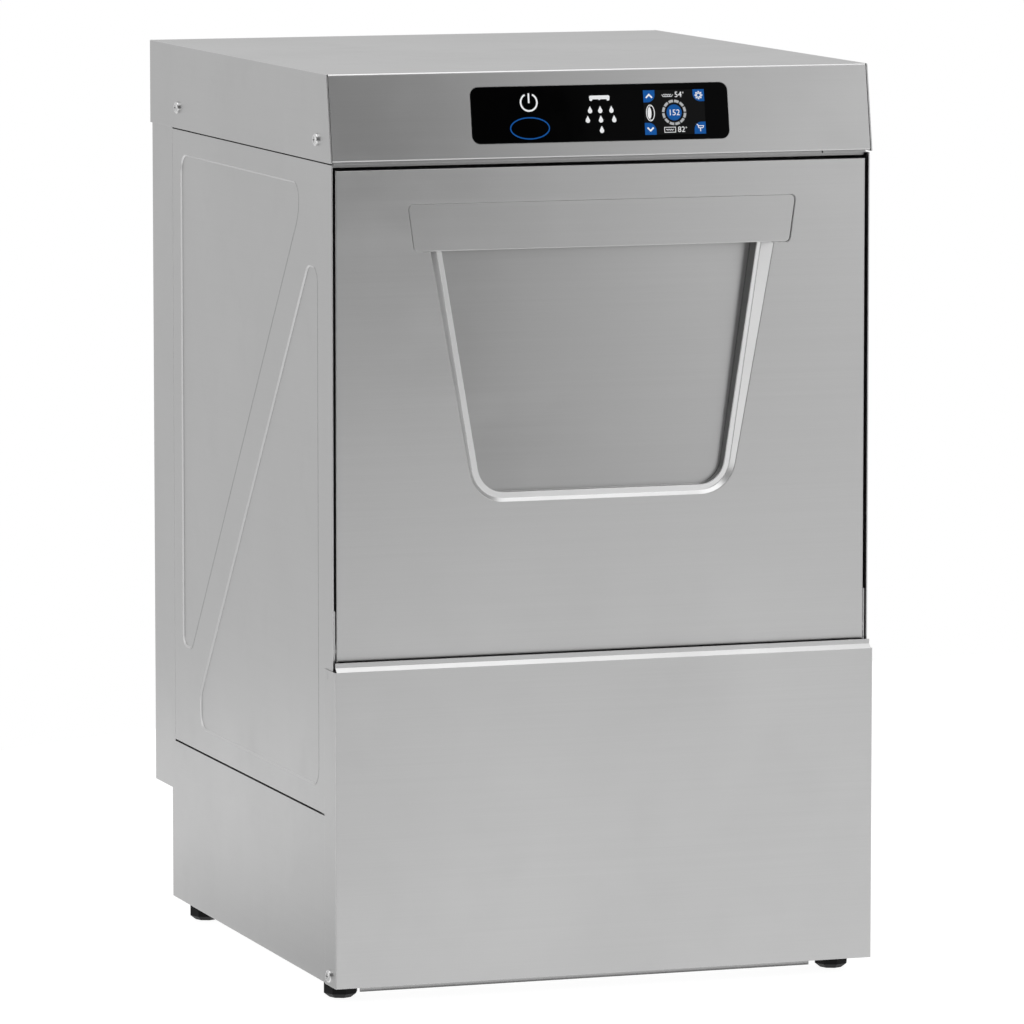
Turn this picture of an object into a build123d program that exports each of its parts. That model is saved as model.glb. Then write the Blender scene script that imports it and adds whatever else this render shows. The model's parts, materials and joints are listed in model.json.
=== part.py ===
from build123d import *
import math
import os

# Undercounter glass and dish washer with a drop-down door, in millimetres.
# X runs to the right of someone facing the door, the door faces -Y and +Z is up.
# The origin is on the floor, under the middle of the machine.

# ---------------------------------------------------------------- driving dimensions
HOOD_WIDTH = 422.0
DEPTH = 482.0
HEIGHT = 685.0
LIFT = 13.0  # underside of the cabinet above the floor
SHEET = 1.0  # stainless sheet of the casing
GAP = 0.3  # everyday clearance between neighbouring sheets
RUNNING_FIT = 0.06  # radial clearance of a turning or sliding fit

HOOD_HALF = HOOD_WIDTH / 2
BODY_HALF = HOOD_HALF - SHEET
INSIDE_HALF = BODY_HALF - SHEET
FRONT = -DEPTH / 2
REAR = DEPTH / 2

# Hood: a folded top whose front edge is a fascia that leans back.
FASCIA_BOTTOM = (-234.6, 621.2)  # y and z
FASCIA_TOP_Y = -223.3
HOOD_FLANGE_Z = 620.4
BAND_TOP = HEIGHT - 17.0  # top edge of the body sides, inside the hood

# Control glass, on the fascia.
GLASS_WIDTH = 200.0
GLASS_HEIGHT = 41.5
GLASS_SHIFT = -1.6  # the glass sits slightly left of the middle
GLASS_Z = 652.8
GLASS_THICK = 1.6
GLASS_PROUD = 0.6
GLASS_RADIUS = 6.0
DISPLAY_WIDTH = 49.0
DISPLAY_HEIGHT = 37.0
DISPLAY_X = 58.0
FRAME_DEPTH = 9.0
BOARD_DEPTH = 7.0

# Body sides and their pressed insert panels.
BODY_REAR = 238.6
BACK_FACE = BODY_REAR - 0.2  # outer face of the upper back panel
STEP_Y = 191.2  # back of the cabinet below the step
STEP_Z = 99.4
INSERT_FRONT = -232.2
INSERT_REAR = 182.2
INSERT_BOTTOM = 139.2
INSERT_TOP = 619.2
WINDOW_BOTTOM = 137.6
WINDOW_TOP = 621.4
WINDOW_REAR = 182.6
BACKING_HALF = 201.0  # outer face of the plate behind the insert
BESIDE_DOOR = 207.4  # widest half width that clears the pressed fields of the inserts
PRESS_DEPTH = 1.2

# Lower front panel.
PANEL_TOP = 247.8
PANEL_FLANGE_REAR = -214.3
LIP_Y = -237.8  # upright end of the lip that slopes up from the panel
LIP_BEND_Z = 251.0
LIP_Z = 254.4
LIP_HALF = 209.4

# Door and its pivot.
DOOR_HALF = 206.7
DOOR_FACE = -231.5
DOOR_BACK = -191.5
DOOR_BOTTOM = 254.0
DOOR_TOP = 615.0
PIVOT_Y = -225.0
PIVOT_Z = 263.0
PIVOT_RADIUS = 3.5
PIN_PLATE = 207.2  # inner face of the plates that carry the hinge pins
POCKET_BOTTOM = 368.0
POCKET_TOP = 577.0
POCKET_LOW_HALF = 99.9
POCKET_HIGH_HALF = 138.2
RIM_RADII = (27.0, 9.0)  # corner radii, low and high
BEAD_RADII = (24.5, 5.0)
WELL_RADII = (20.5, 3.0)
BEAD_LOW_DEPTH = 2.6
BEAD_HIGH_DEPTH = 7.6
BEAD_WIDTH = 4.2
FLOOR_LOW_DEPTH = 8.5
FLOOR_HIGH_DEPTH = 21.0
HANDLE_BOTTOM = 554.5
HANDLE_TOP = 589.0
HANDLE_HALF_BOTTOM = 146.2
HANDLE_HALF_TOP = 151.0
HANDLE_THICK = 1.2

# Door spring gear: a lever eye under each hinge arm lifts a sliding rod.
LEVER_Y = PIVOT_Y + 17.4
LEVER_Z = PIVOT_Z - 16.7
LEVER_HOLE = 7.3
LEVER_EYE = 10.8
ROD_Y = PIVOT_Y + 20.0
ROD_PIN_Z = PIVOT_Z - 14.0
ROD_X = 195.5
ROD_HALF = 3.5
ROD_BOTTOM = 196.0
SPRING_BOTTOM = 86.0
SPRING_RADIUS = 4.6
SPRING_WIRE = 0.9
ARM_X = 201.5  # middle of each hinge arm plate

# Wash chamber, inside faces.
FRAME_Y = -188.0
CHAMBER_HALF = 188.0
CHAMBER_REAR = 200.0
CHAMBER_FLOOR = 255.0
CHAMBER_ROOF = 612.5
MOUTH_HALF = 180.0
MOUTH_BOTTOM = 288.5
MOUTH_TOP = 601.0

# Sump tank, inside faces.
SUMP_HALF = 120.0
SUMP_FRONT = -115.0
SUMP_REAR = 125.0
SUMP_BOTTOM = 151.0
SUCTION_X = -10.0
SUCTION_Y = -90.0
STANDPIPE_X = 60.0
STANDPIPE_Y = 90.0
STRAINER_X = -70.0
STRAINER_Y = 60.0
STRAINER_RADIUS = 30.0
HEATER_LEGS = (-100.0, -46.0)
HEATER_Z = 164.0
HEATER_ROD = 4.0

# Spray arms, all on one upright axis.
SPRAY_Y = 5.0
SPINDLE_RADIUS = 8.0
COLUMN_RADIUS = 20.0
FEED_Z = 200.0  # height of the pipes that feed the arms
LOWER_WASH_Z = 272.0
LOWER_RINSE_Z = 287.0
UPPER_WASH_Z = 574.0
UPPER_RINSE_Z = 561.0
RAIL_Z = 302.0

# Wash pump, boiler and pipes.
PUMP_X = 108.0
PUMP_Z = 88.0
VOLUTE_FRONT = -178.0
VOLUTE_REAR = -138.0
VOLUTE_RADIUS = 58.0
PUMP_OUTLET_Z = PUMP_Z + 62.0
SHAFT_RADIUS = 6.0
PIPE_X = 150.0
PIPE_Y = -158.0
PIPE_RADIUS = 13.0
THIN_PIPE_RADIUS = 6.0
HOSE_RADIUS = 13.0
BOILER_X = -125.0
BOILER_Z = 88.0
BOILER_RADIUS = 52.0
BOILER_FRONT = -60.0
BOILER_REAR = 150.0
FILL_Y = 105.0  # depth of the stub that fills the boiler
BACK_PIPE_Y = 219.0
OVERHEAD_Z = 648.0

# Base and feet.
TRAY_Z = 24.0
TRAY_THICK = 1.5
TRAY_FRONT = -228.0
TOE_Y = -196.0
TOE_HALF = 178.0
TOE_BOTTOM = 1.5
FOOT_X = 194.5
FOOT_FRONT_Y = -200.0
FOOT_REAR_Y = 152.0
FOOT_ACROSS = 24.0
FOOT_STEM = 4.0

# Casing screws.
SCREW_SHANK = 2.45
SCREW_HOLE = 2.6
SCREW_HEAD = 4.8
SCREW_HEAD_HEIGHT = 2.6
HOOD_SCREW_FRONT = (-200.8, 636.0)  # y and z
HOOD_SCREW_REAR = (162.7, 636.6)
KICK_SCREW = (-227.0, 20.7)

# Services through the lower back panel.
PORT_Z = 60.0
PORT_INNER_Y = STEP_Y - 8.0  # inner ends of the fittings
VALVE_Y = 146.0  # inner end of the fill valve
GLAND_X = 145.0
GLAND_HOLE = 12.6
GLAND_BORE = 6.5
INLET_X = -40.0
INLET_HOLE = 10.6
INLET_RADIUS = 13.2
DRAIN_X = 60.0
DRAIN_HOLE = 14.1

os.makedirs("parts", exist_ok=True)


# ---------------------------------------------------------------- shared helpers
def save(piece, name):
    """Label a finished piece and write it to its own STEP file."""
    piece.part.label = name
    export_step(piece.part, f"parts/{name}.step")


def block(x, y, z, mode=Mode.ADD):
    """A box between the given (low, high) pairs, in the part that is being built."""
    with Locations(((x[0] + x[1]) / 2, (y[0] + y[1]) / 2, (z[0] + z[1]) / 2)):
        Box(x[1] - x[0], y[1] - y[0], z[1] - z[0], mode=mode)


def paired(low, high, side):
    """The (low, high) pair of distances from the middle, on the given side of it."""
    return (side * low, side * high) if side > 0 else (side * high, side * low)


def rod(start, length, radius, along="Z", mode=Mode.ADD):
    """A round bar from a point along one axis, backwards when its length is negative."""
    turn = {"X": (0, 90, 0), "Y": (-90, 0, 0), "Z": (0, 0, 0)}[along]
    start_end = Align.MIN if length > 0 else Align.MAX
    with Locations(start):
        Cylinder(
            radius,
            abs(length),
            rotation=turn,
            align=(Align.CENTER, Align.CENTER, start_end),
            mode=mode,
        )


def drill(start, depth, radius, along="Z"):
    """A round hole along one axis, cut 1 mm past both ends of its depth."""
    axis = "XYZ".index(along)
    early = tuple(value - (index == axis) for index, value in enumerate(start))
    rod(early, depth + 2, radius, along, Mode.SUBTRACT)


def near(level):
    """The narrow band that picks out the edges lying at one level."""
    return level - 0.1, level + 0.1


def pipe(route, radius, bend, bore=0.0):
    """A tube along straight runs joined by arcs, added to the part that is being built."""
    with BuildLine() as centre:
        FilletPolyline(*route, radius=bend)
    with BuildSketch(Plane(origin=centre.line @ 0, z_dir=centre.line % 0)) as section:
        Circle(radius)
        if bore:
            Circle(bore, mode=Mode.SUBTRACT)
    sweep(section.sketch, path=centre.line)


# ---------------------------------------------------------------- base and casing
def make_base_tray():
    """Floor of the cabinet with turned-up sides, a toe strip and threaded foot bosses."""
    rear = STEP_Y - SHEET - GAP
    turn_up = 20.0
    boss_height = 16.0
    boss_radius = 9.0
    vent_radius = 12.0
    vent_spots = [(x, y, TRAY_Z) for x in (-20, 20) for y in (-60, 0)]
    wall = (INSIDE_HALF - GAP - TRAY_THICK, INSIDE_HALF - GAP)
    with BuildPart() as tray:
        block((-wall[1], wall[1]), (TRAY_FRONT, rear), (TRAY_Z, TRAY_Z + TRAY_THICK))
        for side in (-1, 1):
            block(paired(*wall, side), (TRAY_FRONT, rear), (TRAY_Z, TRAY_Z + turn_up))
        block((-TOE_HALF, TOE_HALF), (TOE_Y, TOE_Y + TRAY_THICK), (TOE_BOTTOM, TRAY_Z))
        for x in (-FOOT_X, FOOT_X):
            for y in (FOOT_FRONT_Y, FOOT_REAR_Y):
                rod((x, y, TRAY_Z), boss_height, boss_radius)
                drill((x, y, TRAY_Z), boss_height, FOOT_STEM + RUNNING_FIT)
        for x, y, z in vent_spots:
            drill((x, y, z), TRAY_THICK, vent_radius)
    save(tray, "base_tray")


def make_foot(name, x, y):
    """Levelling foot: an eight-sided pad with a coned sole, a collar and a threaded stem."""
    sole_across = 15.6
    cone_height = 3.4
    pad_top = 12.0
    collar_radius = 8.0
    collar_gap = 0.1
    stem_length = 48.0
    tip_chamfer = 0.8
    with BuildPart() as foot:
        with BuildSketch(Plane.XY) as sole:
            with Locations((x, y)):
                RegularPolygon(sole_across / 2, 8, major_radius=False)
        with BuildSketch(Plane.XY.offset(cone_height)) as rim:
            with Locations((x, y)):
                RegularPolygon(FOOT_ACROSS / 2, 8, major_radius=False)
        loft([sole.sketch.face(), rim.sketch.face()])
        extrude(rim.sketch, amount=pad_top - cone_height)
        rod((x, y, pad_top), TRAY_Z - collar_gap - pad_top, collar_radius)
        rod((x, y, pad_top), stem_length, FOOT_STEM)
        chamfer(foot.faces().sort_by(Axis.Z)[-1].edges(), tip_chamfer)
    save(foot, name)


def screw_hole(side, y, z):
    """Clearance hole for a casing screw through the sheets at one side of the machine."""
    rod((side * (HOOD_HALF - 5), y, z), side * 6, SCREW_HOLE, "X", Mode.SUBTRACT)


def make_body_side(name, side):
    """Skirt, rear strip and top band in one sheet, joggled inwards behind the insert panel."""
    skirt_front = FRONT + 2
    band_front = -221.0
    outer = paired(INSIDE_HALF, BODY_HALF, side)
    folded = paired(BACKING_HALF - SHEET, INSIDE_HALF, side)
    backing = paired(BACKING_HALF - SHEET, BACKING_HALF, side)
    window = (FRAME_Y + SHEET + GAP, WINDOW_REAR + SHEET)
    height = (WINDOW_BOTTOM - SHEET, WINDOW_TOP + SHEET)
    with BuildPart() as body_side:
        block(outer, (skirt_front, STEP_Y), (LIFT, WINDOW_BOTTOM))
        block(outer, (WINDOW_REAR, BODY_REAR), (STEP_Z, BAND_TOP))
        block(outer, (band_front, BODY_REAR), (WINDOW_TOP, BAND_TOP))
        block(backing, window, height)
        block(folded, window, (height[0], WINDOW_BOTTOM))
        block(folded, window, (WINDOW_TOP, height[1]))
        block(folded, (WINDOW_REAR, WINDOW_REAR + SHEET), height)
        for _, y, z in screw_spots(side):
            screw_hole(side, y, z)
    save(body_side, name)


def press(corners, radii, start, depth, mode):
    """Press a field into a sheet, from the plane x = start, with walls at 45 degrees."""
    with BuildSketch(Plane.YZ.offset(start)) as field:
        with BuildLine():
            FilletPolyline(*corners, radius=radii, close=True)
        make_face()
    extrude(field.sketch, amount=depth, taper=45, mode=mode)


def make_side_panel(name, side):
    """Insert panel with two pressed fields, split by a band that runs up to the front."""
    upper = [(161, 601), (-151, 601), (-151, 578), (135.5, 216), (161, 216)]
    upper_radii = [14, 13, 28, 14, 10]
    lower = [(-197, 542), (-171.6, 542), (114.5, 184), (114.5, 157), (-197, 157)]
    lower_radii = [12, 12, 20, 14, 14]
    fold = (-184, 170)
    front_radius = 0.4
    with BuildPart() as panel:
        block(
            paired(INSIDE_HALF, BODY_HALF, side),
            (INSERT_FRONT, INSERT_REAR),
            (INSERT_BOTTOM, INSERT_TOP),
        )
        for level in (INSERT_BOTTOM, INSERT_TOP - SHEET):
            block(paired(BACKING_HALF, INSIDE_HALF, side), fold, (level, level + SHEET))
        for corners, radii in ((upper, upper_radii), (lower, lower_radii)):
            press(corners, radii, side * INSIDE_HALF, -side * PRESS_DEPTH, Mode.ADD)
            press(corners, radii, side * BODY_HALF, -side * PRESS_DEPTH, Mode.SUBTRACT)
        front_edges = panel.edges().filter_by(Axis.Z).group_by(Axis.Y)[0].sort_by(Axis.X)
        fillet(front_edges[-1 if side > 0 else 0], front_radius)
    save(panel, name)


def fascia_y(z):
    """How far forward the outer face of the fascia is at a given height."""
    lean = (FASCIA_TOP_Y - FASCIA_BOTTOM[0]) / (HEIGHT - FASCIA_BOTTOM[1])
    return FASCIA_BOTTOM[0] + lean * (z - FASCIA_BOTTOM[1])


def fascia_plane(depth=0.0):
    """The outer face of the fascia at the middle of the glass, moved inwards by a depth."""
    lean = math.atan2(FASCIA_TOP_Y - FASCIA_BOTTOM[0], HEIGHT - FASCIA_BOTTOM[1])
    outwards = (0, -math.cos(lean), math.sin(lean))
    face = Plane(origin=(GLASS_SHIFT, fascia_y(GLASS_Z), GLASS_Z), x_dir=(1, 0, 0), z_dir=outwards)
    return face.offset(-depth)


def across(corners, half, mode=Mode.ADD):
    """Extrude a closed YZ outline to both sides of the middle, in the part that is being built."""
    with BuildSketch(Plane.YZ.offset(-half)) as outline:
        with BuildLine():
            Polyline(*corners, close=True)
        make_face()
    extrude(outline.sketch, amount=2 * half, mode=mode)


def make_top_hood():
    """Folded top with the leaning fascia, side flanges and a rear flange."""
    seam = 1.5  # the fascia ends this far inside the outer faces of the side flanges
    lip_depth = 11.0
    low_bend = 1.2
    top_bend = 2.0
    ridge_bend = 0.9
    overlap = 0.1
    glass_margin = 0.25
    inner = SHEET / math.cos(math.atan2(FASCIA_TOP_Y - FASCIA_BOTTOM[0], HEIGHT - FASCIA_BOTTOM[1]))
    low_y, low_z = FASCIA_BOTTOM
    with BuildPart() as hood:
        across(
            [
                (low_y, low_z),
                (FASCIA_TOP_Y, HEIGHT),
                (REAR, HEIGHT),
                (REAR, HOOD_FLANGE_Z),
                (REAR - SHEET, HOOD_FLANGE_Z),
                (REAR - SHEET, HEIGHT - SHEET),
                (fascia_y(HEIGHT - SHEET) + inner, HEIGHT - SHEET),
                (fascia_y(low_z + SHEET) + inner, low_z + SHEET),
                (low_y + lip_depth, low_z + SHEET),
                (low_y + lip_depth, low_z),
            ],
            HOOD_HALF - seam,
        )
        bends = hood.edges().filter_by(Axis.X)
        fillet(bends.filter_by_position(Axis.Z, *near(low_z)).sort_by(Axis.Y)[0], low_bend)
        fillet(bends.filter_by_position(Axis.Z, *near(HEIGHT)), top_bend)
        for side in (-1, 1):
            edge = paired(HOOD_HALF - SHEET, HOOD_HALF, side)
            with BuildSketch(Plane.YZ.offset(edge[0])) as flange:
                with BuildLine():
                    Polyline(
                        (fascia_y(HOOD_FLANGE_Z), HOOD_FLANGE_Z),
                        (FASCIA_TOP_Y, HEIGHT),
                        (REAR, HEIGHT),
                        (REAR, HOOD_FLANGE_Z),
                        close=True,
                    )
                make_face()
            extrude(flange.sketch, amount=SHEET)
            block(
                paired(HOOD_HALF - seam - overlap, HOOD_HALF, side),
                (FASCIA_TOP_Y + top_bend, REAR),
                (HEIGHT - SHEET, HEIGHT),
            )
        ridges = hood.edges().filter_by(Axis.Y).filter_by_position(Axis.Z, *near(HEIGHT))
        fillet([ridges.sort_by(Axis.X)[0], ridges.sort_by(Axis.X)[-1]], ridge_bend)
        with BuildSketch(fascia_plane(-5)) as window:
            RectangleRounded(
                GLASS_WIDTH + 2 * glass_margin,
                GLASS_HEIGHT + 2 * glass_margin,
                GLASS_RADIUS + glass_margin,
            )
        extrude(window.sketch, amount=-12, mode=Mode.SUBTRACT)
        for side in (-1, 1):
            for _, y, z in screw_spots(side)[:2]:
                screw_hole(side, y, z)
    save(hood, "top_hood")


def screw_spots(side):
    """Where the casing screws sit on one side: two in the hood flange and one low at the front."""
    spots = (HOOD_SCREW_FRONT, HOOD_SCREW_REAR, KICK_SCREW)
    return [(side * HOOD_HALF, y, z) for y, z in spots]


def cross_recess(face, length, depth):
    """Driver recess in the head of a screw, in the part that is being built."""
    slot_width = 0.9
    with BuildSketch(face) as cross:
        Rectangle(length, slot_width)
        Rectangle(slot_width, length)
    extrude(cross.sketch, amount=-depth, mode=Mode.SUBTRACT)


def make_panel_screws():
    """Pan-head M5 screws with a cross recess, each a separate solid."""
    dome = 1.8
    hood_shank = 4.4
    kick_shank = 2.9
    tip_x = HOOD_HALF + SCREW_HEAD_HEIGHT
    with BuildPart() as screws:
        for side in (-1, 1):
            for x, y, z in screw_spots(side):
                rod((x, y, z), side * SCREW_HEAD_HEIGHT, SCREW_HEAD, "X")
                shank_end = hood_shank if z > HOOD_FLANGE_Z else kick_shank
                rod((x - side * shank_end, y, z), side * shank_end, SCREW_SHANK, "X")
        tips = screws.edges().filter_by(lambda edge: abs(abs(edge.center().X) - tip_x) < 0.01)
        fillet(tips, dome)
        for side in (-1, 1):
            for _, y, z in screw_spots(side):
                head = Plane(origin=(side * tip_x, y, z), z_dir=(side, 0, 0))
                cross_recess(head, 4.4, 1.5)
    save(screws, "panel_screws")


def make_header_rail():
    """Joggled channel above the door that ties the two sides and the chamber frame together."""
    front = -230.0
    front_low = 619.2
    front_height = 1.7
    step_y = -226.0
    low = 617.0  # clears the top of the door as it swings
    web_height = 36.0
    notch = (172.4, 173.6)
    across_door = (-BESIDE_DOOR, BESIDE_DOOR)
    with BuildPart() as rail:
        block(across_door, (front, front + SHEET), (front_low, front_low + front_height))
        block(across_door, (front, step_y + SHEET), (front_low, front_low + SHEET))
        block(across_door, (step_y, step_y + SHEET), (low, front_low + SHEET))
        block(across_door, (step_y, FRAME_Y), (low, low + SHEET))
        block(across_door, (FRAME_Y - SHEET, FRAME_Y), (low, low + web_height))
        block(notch, (front - 1, step_y), (front_low - 1, front_low + front_height + 1), Mode.SUBTRACT)
    save(rail, "header_rail")


def make_lower_front_panel():
    """Removable kick panel: face, wrapped side flanges and a sloped lip under the door."""
    hem = 2.5
    corner_radius = 0.9
    foot_flange_half = 206.0
    foot_flange_depth = 14.0
    slit = (-223.8, -223.1)
    slit_depth = 7.0
    overlap = 0.1
    slope = (LIP_BEND_Z - PANEL_TOP) / (LIP_Y - FRONT)
    drop = SHEET * math.hypot(1, slope)  # upright thickness of the sloped sheet
    with BuildPart() as panel:
        block((-HOOD_HALF, HOOD_HALF), (FRONT, FRONT + SHEET), (LIFT, PANEL_TOP))
        for side in (-1, 1):
            block(paired(BODY_HALF, HOOD_HALF, side), (FRONT, PANEL_FLANGE_REAR), (LIFT, PANEL_TOP))
            block(
                paired(BODY_HALF - overlap, HOOD_HALF + overlap, side),
                slit,
                (PANEL_TOP - slit_depth, PANEL_TOP + 1),
                Mode.SUBTRACT,
            )
        block(
            (-foot_flange_half, foot_flange_half),
            (FRONT, FRONT + foot_flange_depth),
            (LIFT, LIFT + SHEET),
        )
        across(
            [
                (FRONT, PANEL_TOP - hem),
                (FRONT, PANEL_TOP),
                (LIP_Y, LIP_BEND_Z),
                (LIP_Y, LIP_Z),
                (LIP_Y + SHEET, LIP_Z),
                (LIP_Y + SHEET, LIP_BEND_Z + slope * SHEET - drop),
                (FRONT + SHEET, PANEL_TOP + slope * SHEET - drop),
                (FRONT + SHEET, PANEL_TOP - hem),
            ],
            LIP_HALF,
        )
        corners = panel.edges().filter_by(Axis.Z).group_by(Axis.Y)[0].sort_by(Axis.X)
        fillet([corners[0], corners[-1]], corner_radius)
        for side in (-1, 1):
            _, y, z = screw_spots(side)[2]
            screw_hole(side, y, z)
    save(panel, "lower_front_panel")


def rear_screw_spots():
    """Screws around the edge of the upper back panel."""
    return [(x, z) for x in (-198, 0, 198) for z in (130, 360, 596)]


def make_back_panel():
    """Upper back: a flat sheet with vent slots, folded forward at the step."""
    half = INSIDE_HALF - GAP
    hole_radius = 2.1
    vent_z = 200.0
    step = (STEP_Z + GAP, STEP_Z + GAP + SHEET)
    with BuildPart() as panel:
        block((-half, half), (BACK_FACE - SHEET, BACK_FACE), (step[0], BAND_TOP))
        block((-half, half), (STEP_Y - SHEET, BACK_FACE), step)
        with BuildSketch(Plane.XZ.offset(-BACK_FACE - 1)) as openings:
            with Locations((0, vent_z)):
                with GridLocations(78, 12, 2, 9):
                    SlotOverall(58, 4)
            with Locations(*rear_screw_spots()):
                Circle(hole_radius)
        extrude(openings.sketch, amount=SHEET + 3, mode=Mode.SUBTRACT)
        for x in (-165, 165):
            block((x - 14, x + 14), (STEP_Y + 6, BACK_FACE - 14), (STEP_Z, STEP_Z + 3), Mode.SUBTRACT)
    save(panel, "back_panel")


def make_back_screws():
    """Flat-headed screws that hold the upper back panel."""
    head_height = 1.6
    head_radius = 3.8
    shank_length = 6.0
    shank_radius = 2.05
    with BuildPart() as screws:
        for x, z in rear_screw_spots():
            rod((x, BACK_FACE, z), head_height, head_radius, "Y")
            rod((x, BACK_FACE - shank_length, z), shank_length, shank_radius, "Y")
        tips = screws.faces().group_by(Axis.Y)[-1]
        fillet(tips.edges(), 0.9)
        for x, z in rear_screw_spots():
            head = Plane(origin=(x, BACK_FACE + head_height, z), z_dir=(0, 1, 0))
            cross_recess(head, 3.4, 1.0)
    save(screws, "back_panel_screws")


def make_lower_back_panel():
    """Set-back service panel that carries the gland and the water connections."""
    half = INSIDE_HALF - GAP
    holes = ((GLAND_X, GLAND_HOLE), (INLET_X, INLET_HOLE), (DRAIN_X, DRAIN_HOLE))
    with BuildPart() as panel:
        block((-half, half), (STEP_Y - SHEET, STEP_Y), (LIFT + 1, STEP_Z))
        for x, radius in holes:
            drill((x, STEP_Y - SHEET, PORT_Z), SHEET, radius, "Y")
    save(panel, "lower_back_panel")


# ---------------------------------------------------------------- controls
def make_control_glass():
    """Rounded glass that stands slightly proud of the fascia."""
    edge_bevel = 0.2
    with BuildPart() as glass:
        with BuildSketch(fascia_plane(-GLASS_PROUD)) as outline:
            RectangleRounded(GLASS_WIDTH, GLASS_HEIGHT, GLASS_RADIUS)
        extrude(outline.sketch, amount=-GLASS_THICK)
        front_face = glass.faces().sort_by(Axis.Y)[0]
        chamfer(front_face.edges(), edge_bevel)
    save(glass, "control_glass")


def make_control_frame():
    """Moulded frame glued behind the fascia; it holds the glass, the display and the board."""
    flange_thick = 1.6
    wall_width = (GLASS_WIDTH - 2, GLASS_WIDTH - 5)
    wall_height = (GLASS_HEIGHT - 1, GLASS_HEIGHT - 3.4)
    display_margin = 0.4
    with BuildPart() as frame:
        with BuildSketch(fascia_plane(SHEET)) as flange:
            RectangleRounded(GLASS_WIDTH + 12, GLASS_HEIGHT + 10, 4)
            with Locations((DISPLAY_X, 0)):
                Rectangle(
                    DISPLAY_WIDTH + display_margin,
                    DISPLAY_HEIGHT + display_margin,
                    mode=Mode.SUBTRACT,
                )
            with Locations((-60, 0), (0, 0)):
                Rectangle(34, 26, mode=Mode.SUBTRACT)
        extrude(flange.sketch, amount=-flange_thick)
        with BuildSketch(fascia_plane(SHEET)) as wall:
            Rectangle(wall_width[0], wall_height[0])
            Rectangle(wall_width[1], wall_height[1], mode=Mode.SUBTRACT)
        extrude(wall.sketch, amount=-FRAME_DEPTH)
    save(frame, "control_frame")


def make_display_module():
    """Display panel that sits in the control frame, just behind the glass."""
    air = 0.1
    thick = 4.0
    with BuildPart() as display:
        with BuildSketch(fascia_plane(SHEET + air)) as panel:
            with Locations((DISPLAY_X, 0)):
                Rectangle(DISPLAY_WIDTH, DISPLAY_HEIGHT)
        extrude(panel.sketch, amount=-thick)
    save(display, "display_module")


def make_control_board():
    """Circuit board across the frame, with its taller components on the back."""
    board_thick = 1.6
    part_height = 5.0
    with BuildPart() as board:
        with BuildSketch(fascia_plane(BOARD_DEPTH)) as sheet:
            Rectangle(GLASS_WIDTH - 6, GLASS_HEIGHT - 4.4)
        extrude(sheet.sketch, amount=-board_thick)
        with BuildSketch(fascia_plane(BOARD_DEPTH + board_thick)) as components:
            with Locations((-70, 6), (-30, -6), (70, 4)):
                Rectangle(16, 12)
            with Locations((-5, 8), (20, -8)):
                Rectangle(9, 9)
        extrude(components.sketch, amount=-part_height)
    save(board, "control_board")


# ---------------------------------------------------------------- wash chamber and its fittings
def make_wash_chamber():
    """Deep-drawn wash chamber with its front frame, sump opening and two side ribs."""
    frame_height = (CHAMBER_FLOOR + 3, 616)
    mouth_radius = 9.0
    rib_x = 150.0
    rib_size = (26.0, 150.0, 6.0)
    ceiling_hole = 11.0
    with BuildPart() as chamber:
        block(
            (-CHAMBER_HALF - SHEET, CHAMBER_HALF + SHEET),
            (FRAME_Y, CHAMBER_REAR + SHEET),
            (CHAMBER_FLOOR - SHEET, CHAMBER_ROOF + SHEET),
        )
        block(
            (-CHAMBER_HALF, CHAMBER_HALF),
            (FRAME_Y + SHEET, CHAMBER_REAR),
            (CHAMBER_FLOOR, CHAMBER_ROOF),
            Mode.SUBTRACT,
        )
        block((-BESIDE_DOOR, BESIDE_DOOR), (FRAME_Y, FRAME_Y + SHEET), frame_height)
        with BuildSketch(Plane.XZ.offset(-FRAME_Y + 5)) as mouth:
            with Locations((0, (MOUTH_BOTTOM + MOUTH_TOP) / 2)):
                RectangleRounded(2 * MOUTH_HALF, MOUTH_TOP - MOUTH_BOTTOM, mouth_radius)
        extrude(mouth.sketch, amount=-10, mode=Mode.SUBTRACT)
        floor_hole = (CHAMBER_FLOOR - 5, CHAMBER_FLOOR + 1)
        block((-SUMP_HALF, SUMP_HALF), (SUMP_FRONT, SUMP_REAR), floor_hole, Mode.SUBTRACT)
        drill((0, SPRAY_Y, CHAMBER_ROOF), SHEET, ceiling_hole)
        with Locations((-rib_x, 0, CHAMBER_FLOOR), (rib_x, 0, CHAMBER_FLOOR)):
            width, depth, height = rib_size
            standing = (Align.CENTER, Align.CENTER, Align.MIN)
            Box(width, depth, height, align=standing)
            Box(width - 2, depth - 2, height - 1, align=standing, mode=Mode.SUBTRACT)
    save(chamber, "wash_chamber")


def make_door_gasket():
    """Rubber seal around the mouth of the chamber, with a rounded lip."""
    outer_margin = 20.0
    inner_margin = 2.0
    lip_radius = 1.2
    width = 2 * MOUTH_HALF
    height = MOUTH_TOP - MOUTH_BOTTOM
    with BuildPart() as gasket:
        with BuildSketch(Plane.XZ.offset(-FRAME_Y)) as ring:
            with Locations((0, (MOUTH_BOTTOM + MOUTH_TOP) / 2)):
                RectangleRounded(width + outer_margin, height + outer_margin, 16)
                RectangleRounded(width + inner_margin, height + inner_margin, 9, mode=Mode.SUBTRACT)
        extrude(ring.sketch, amount=FRAME_Y - DOOR_BACK - GAP)
        fillet(gasket.faces().sort_by(Axis.Y)[0].edges(), lip_radius)
    save(gasket, "door_gasket")


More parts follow.
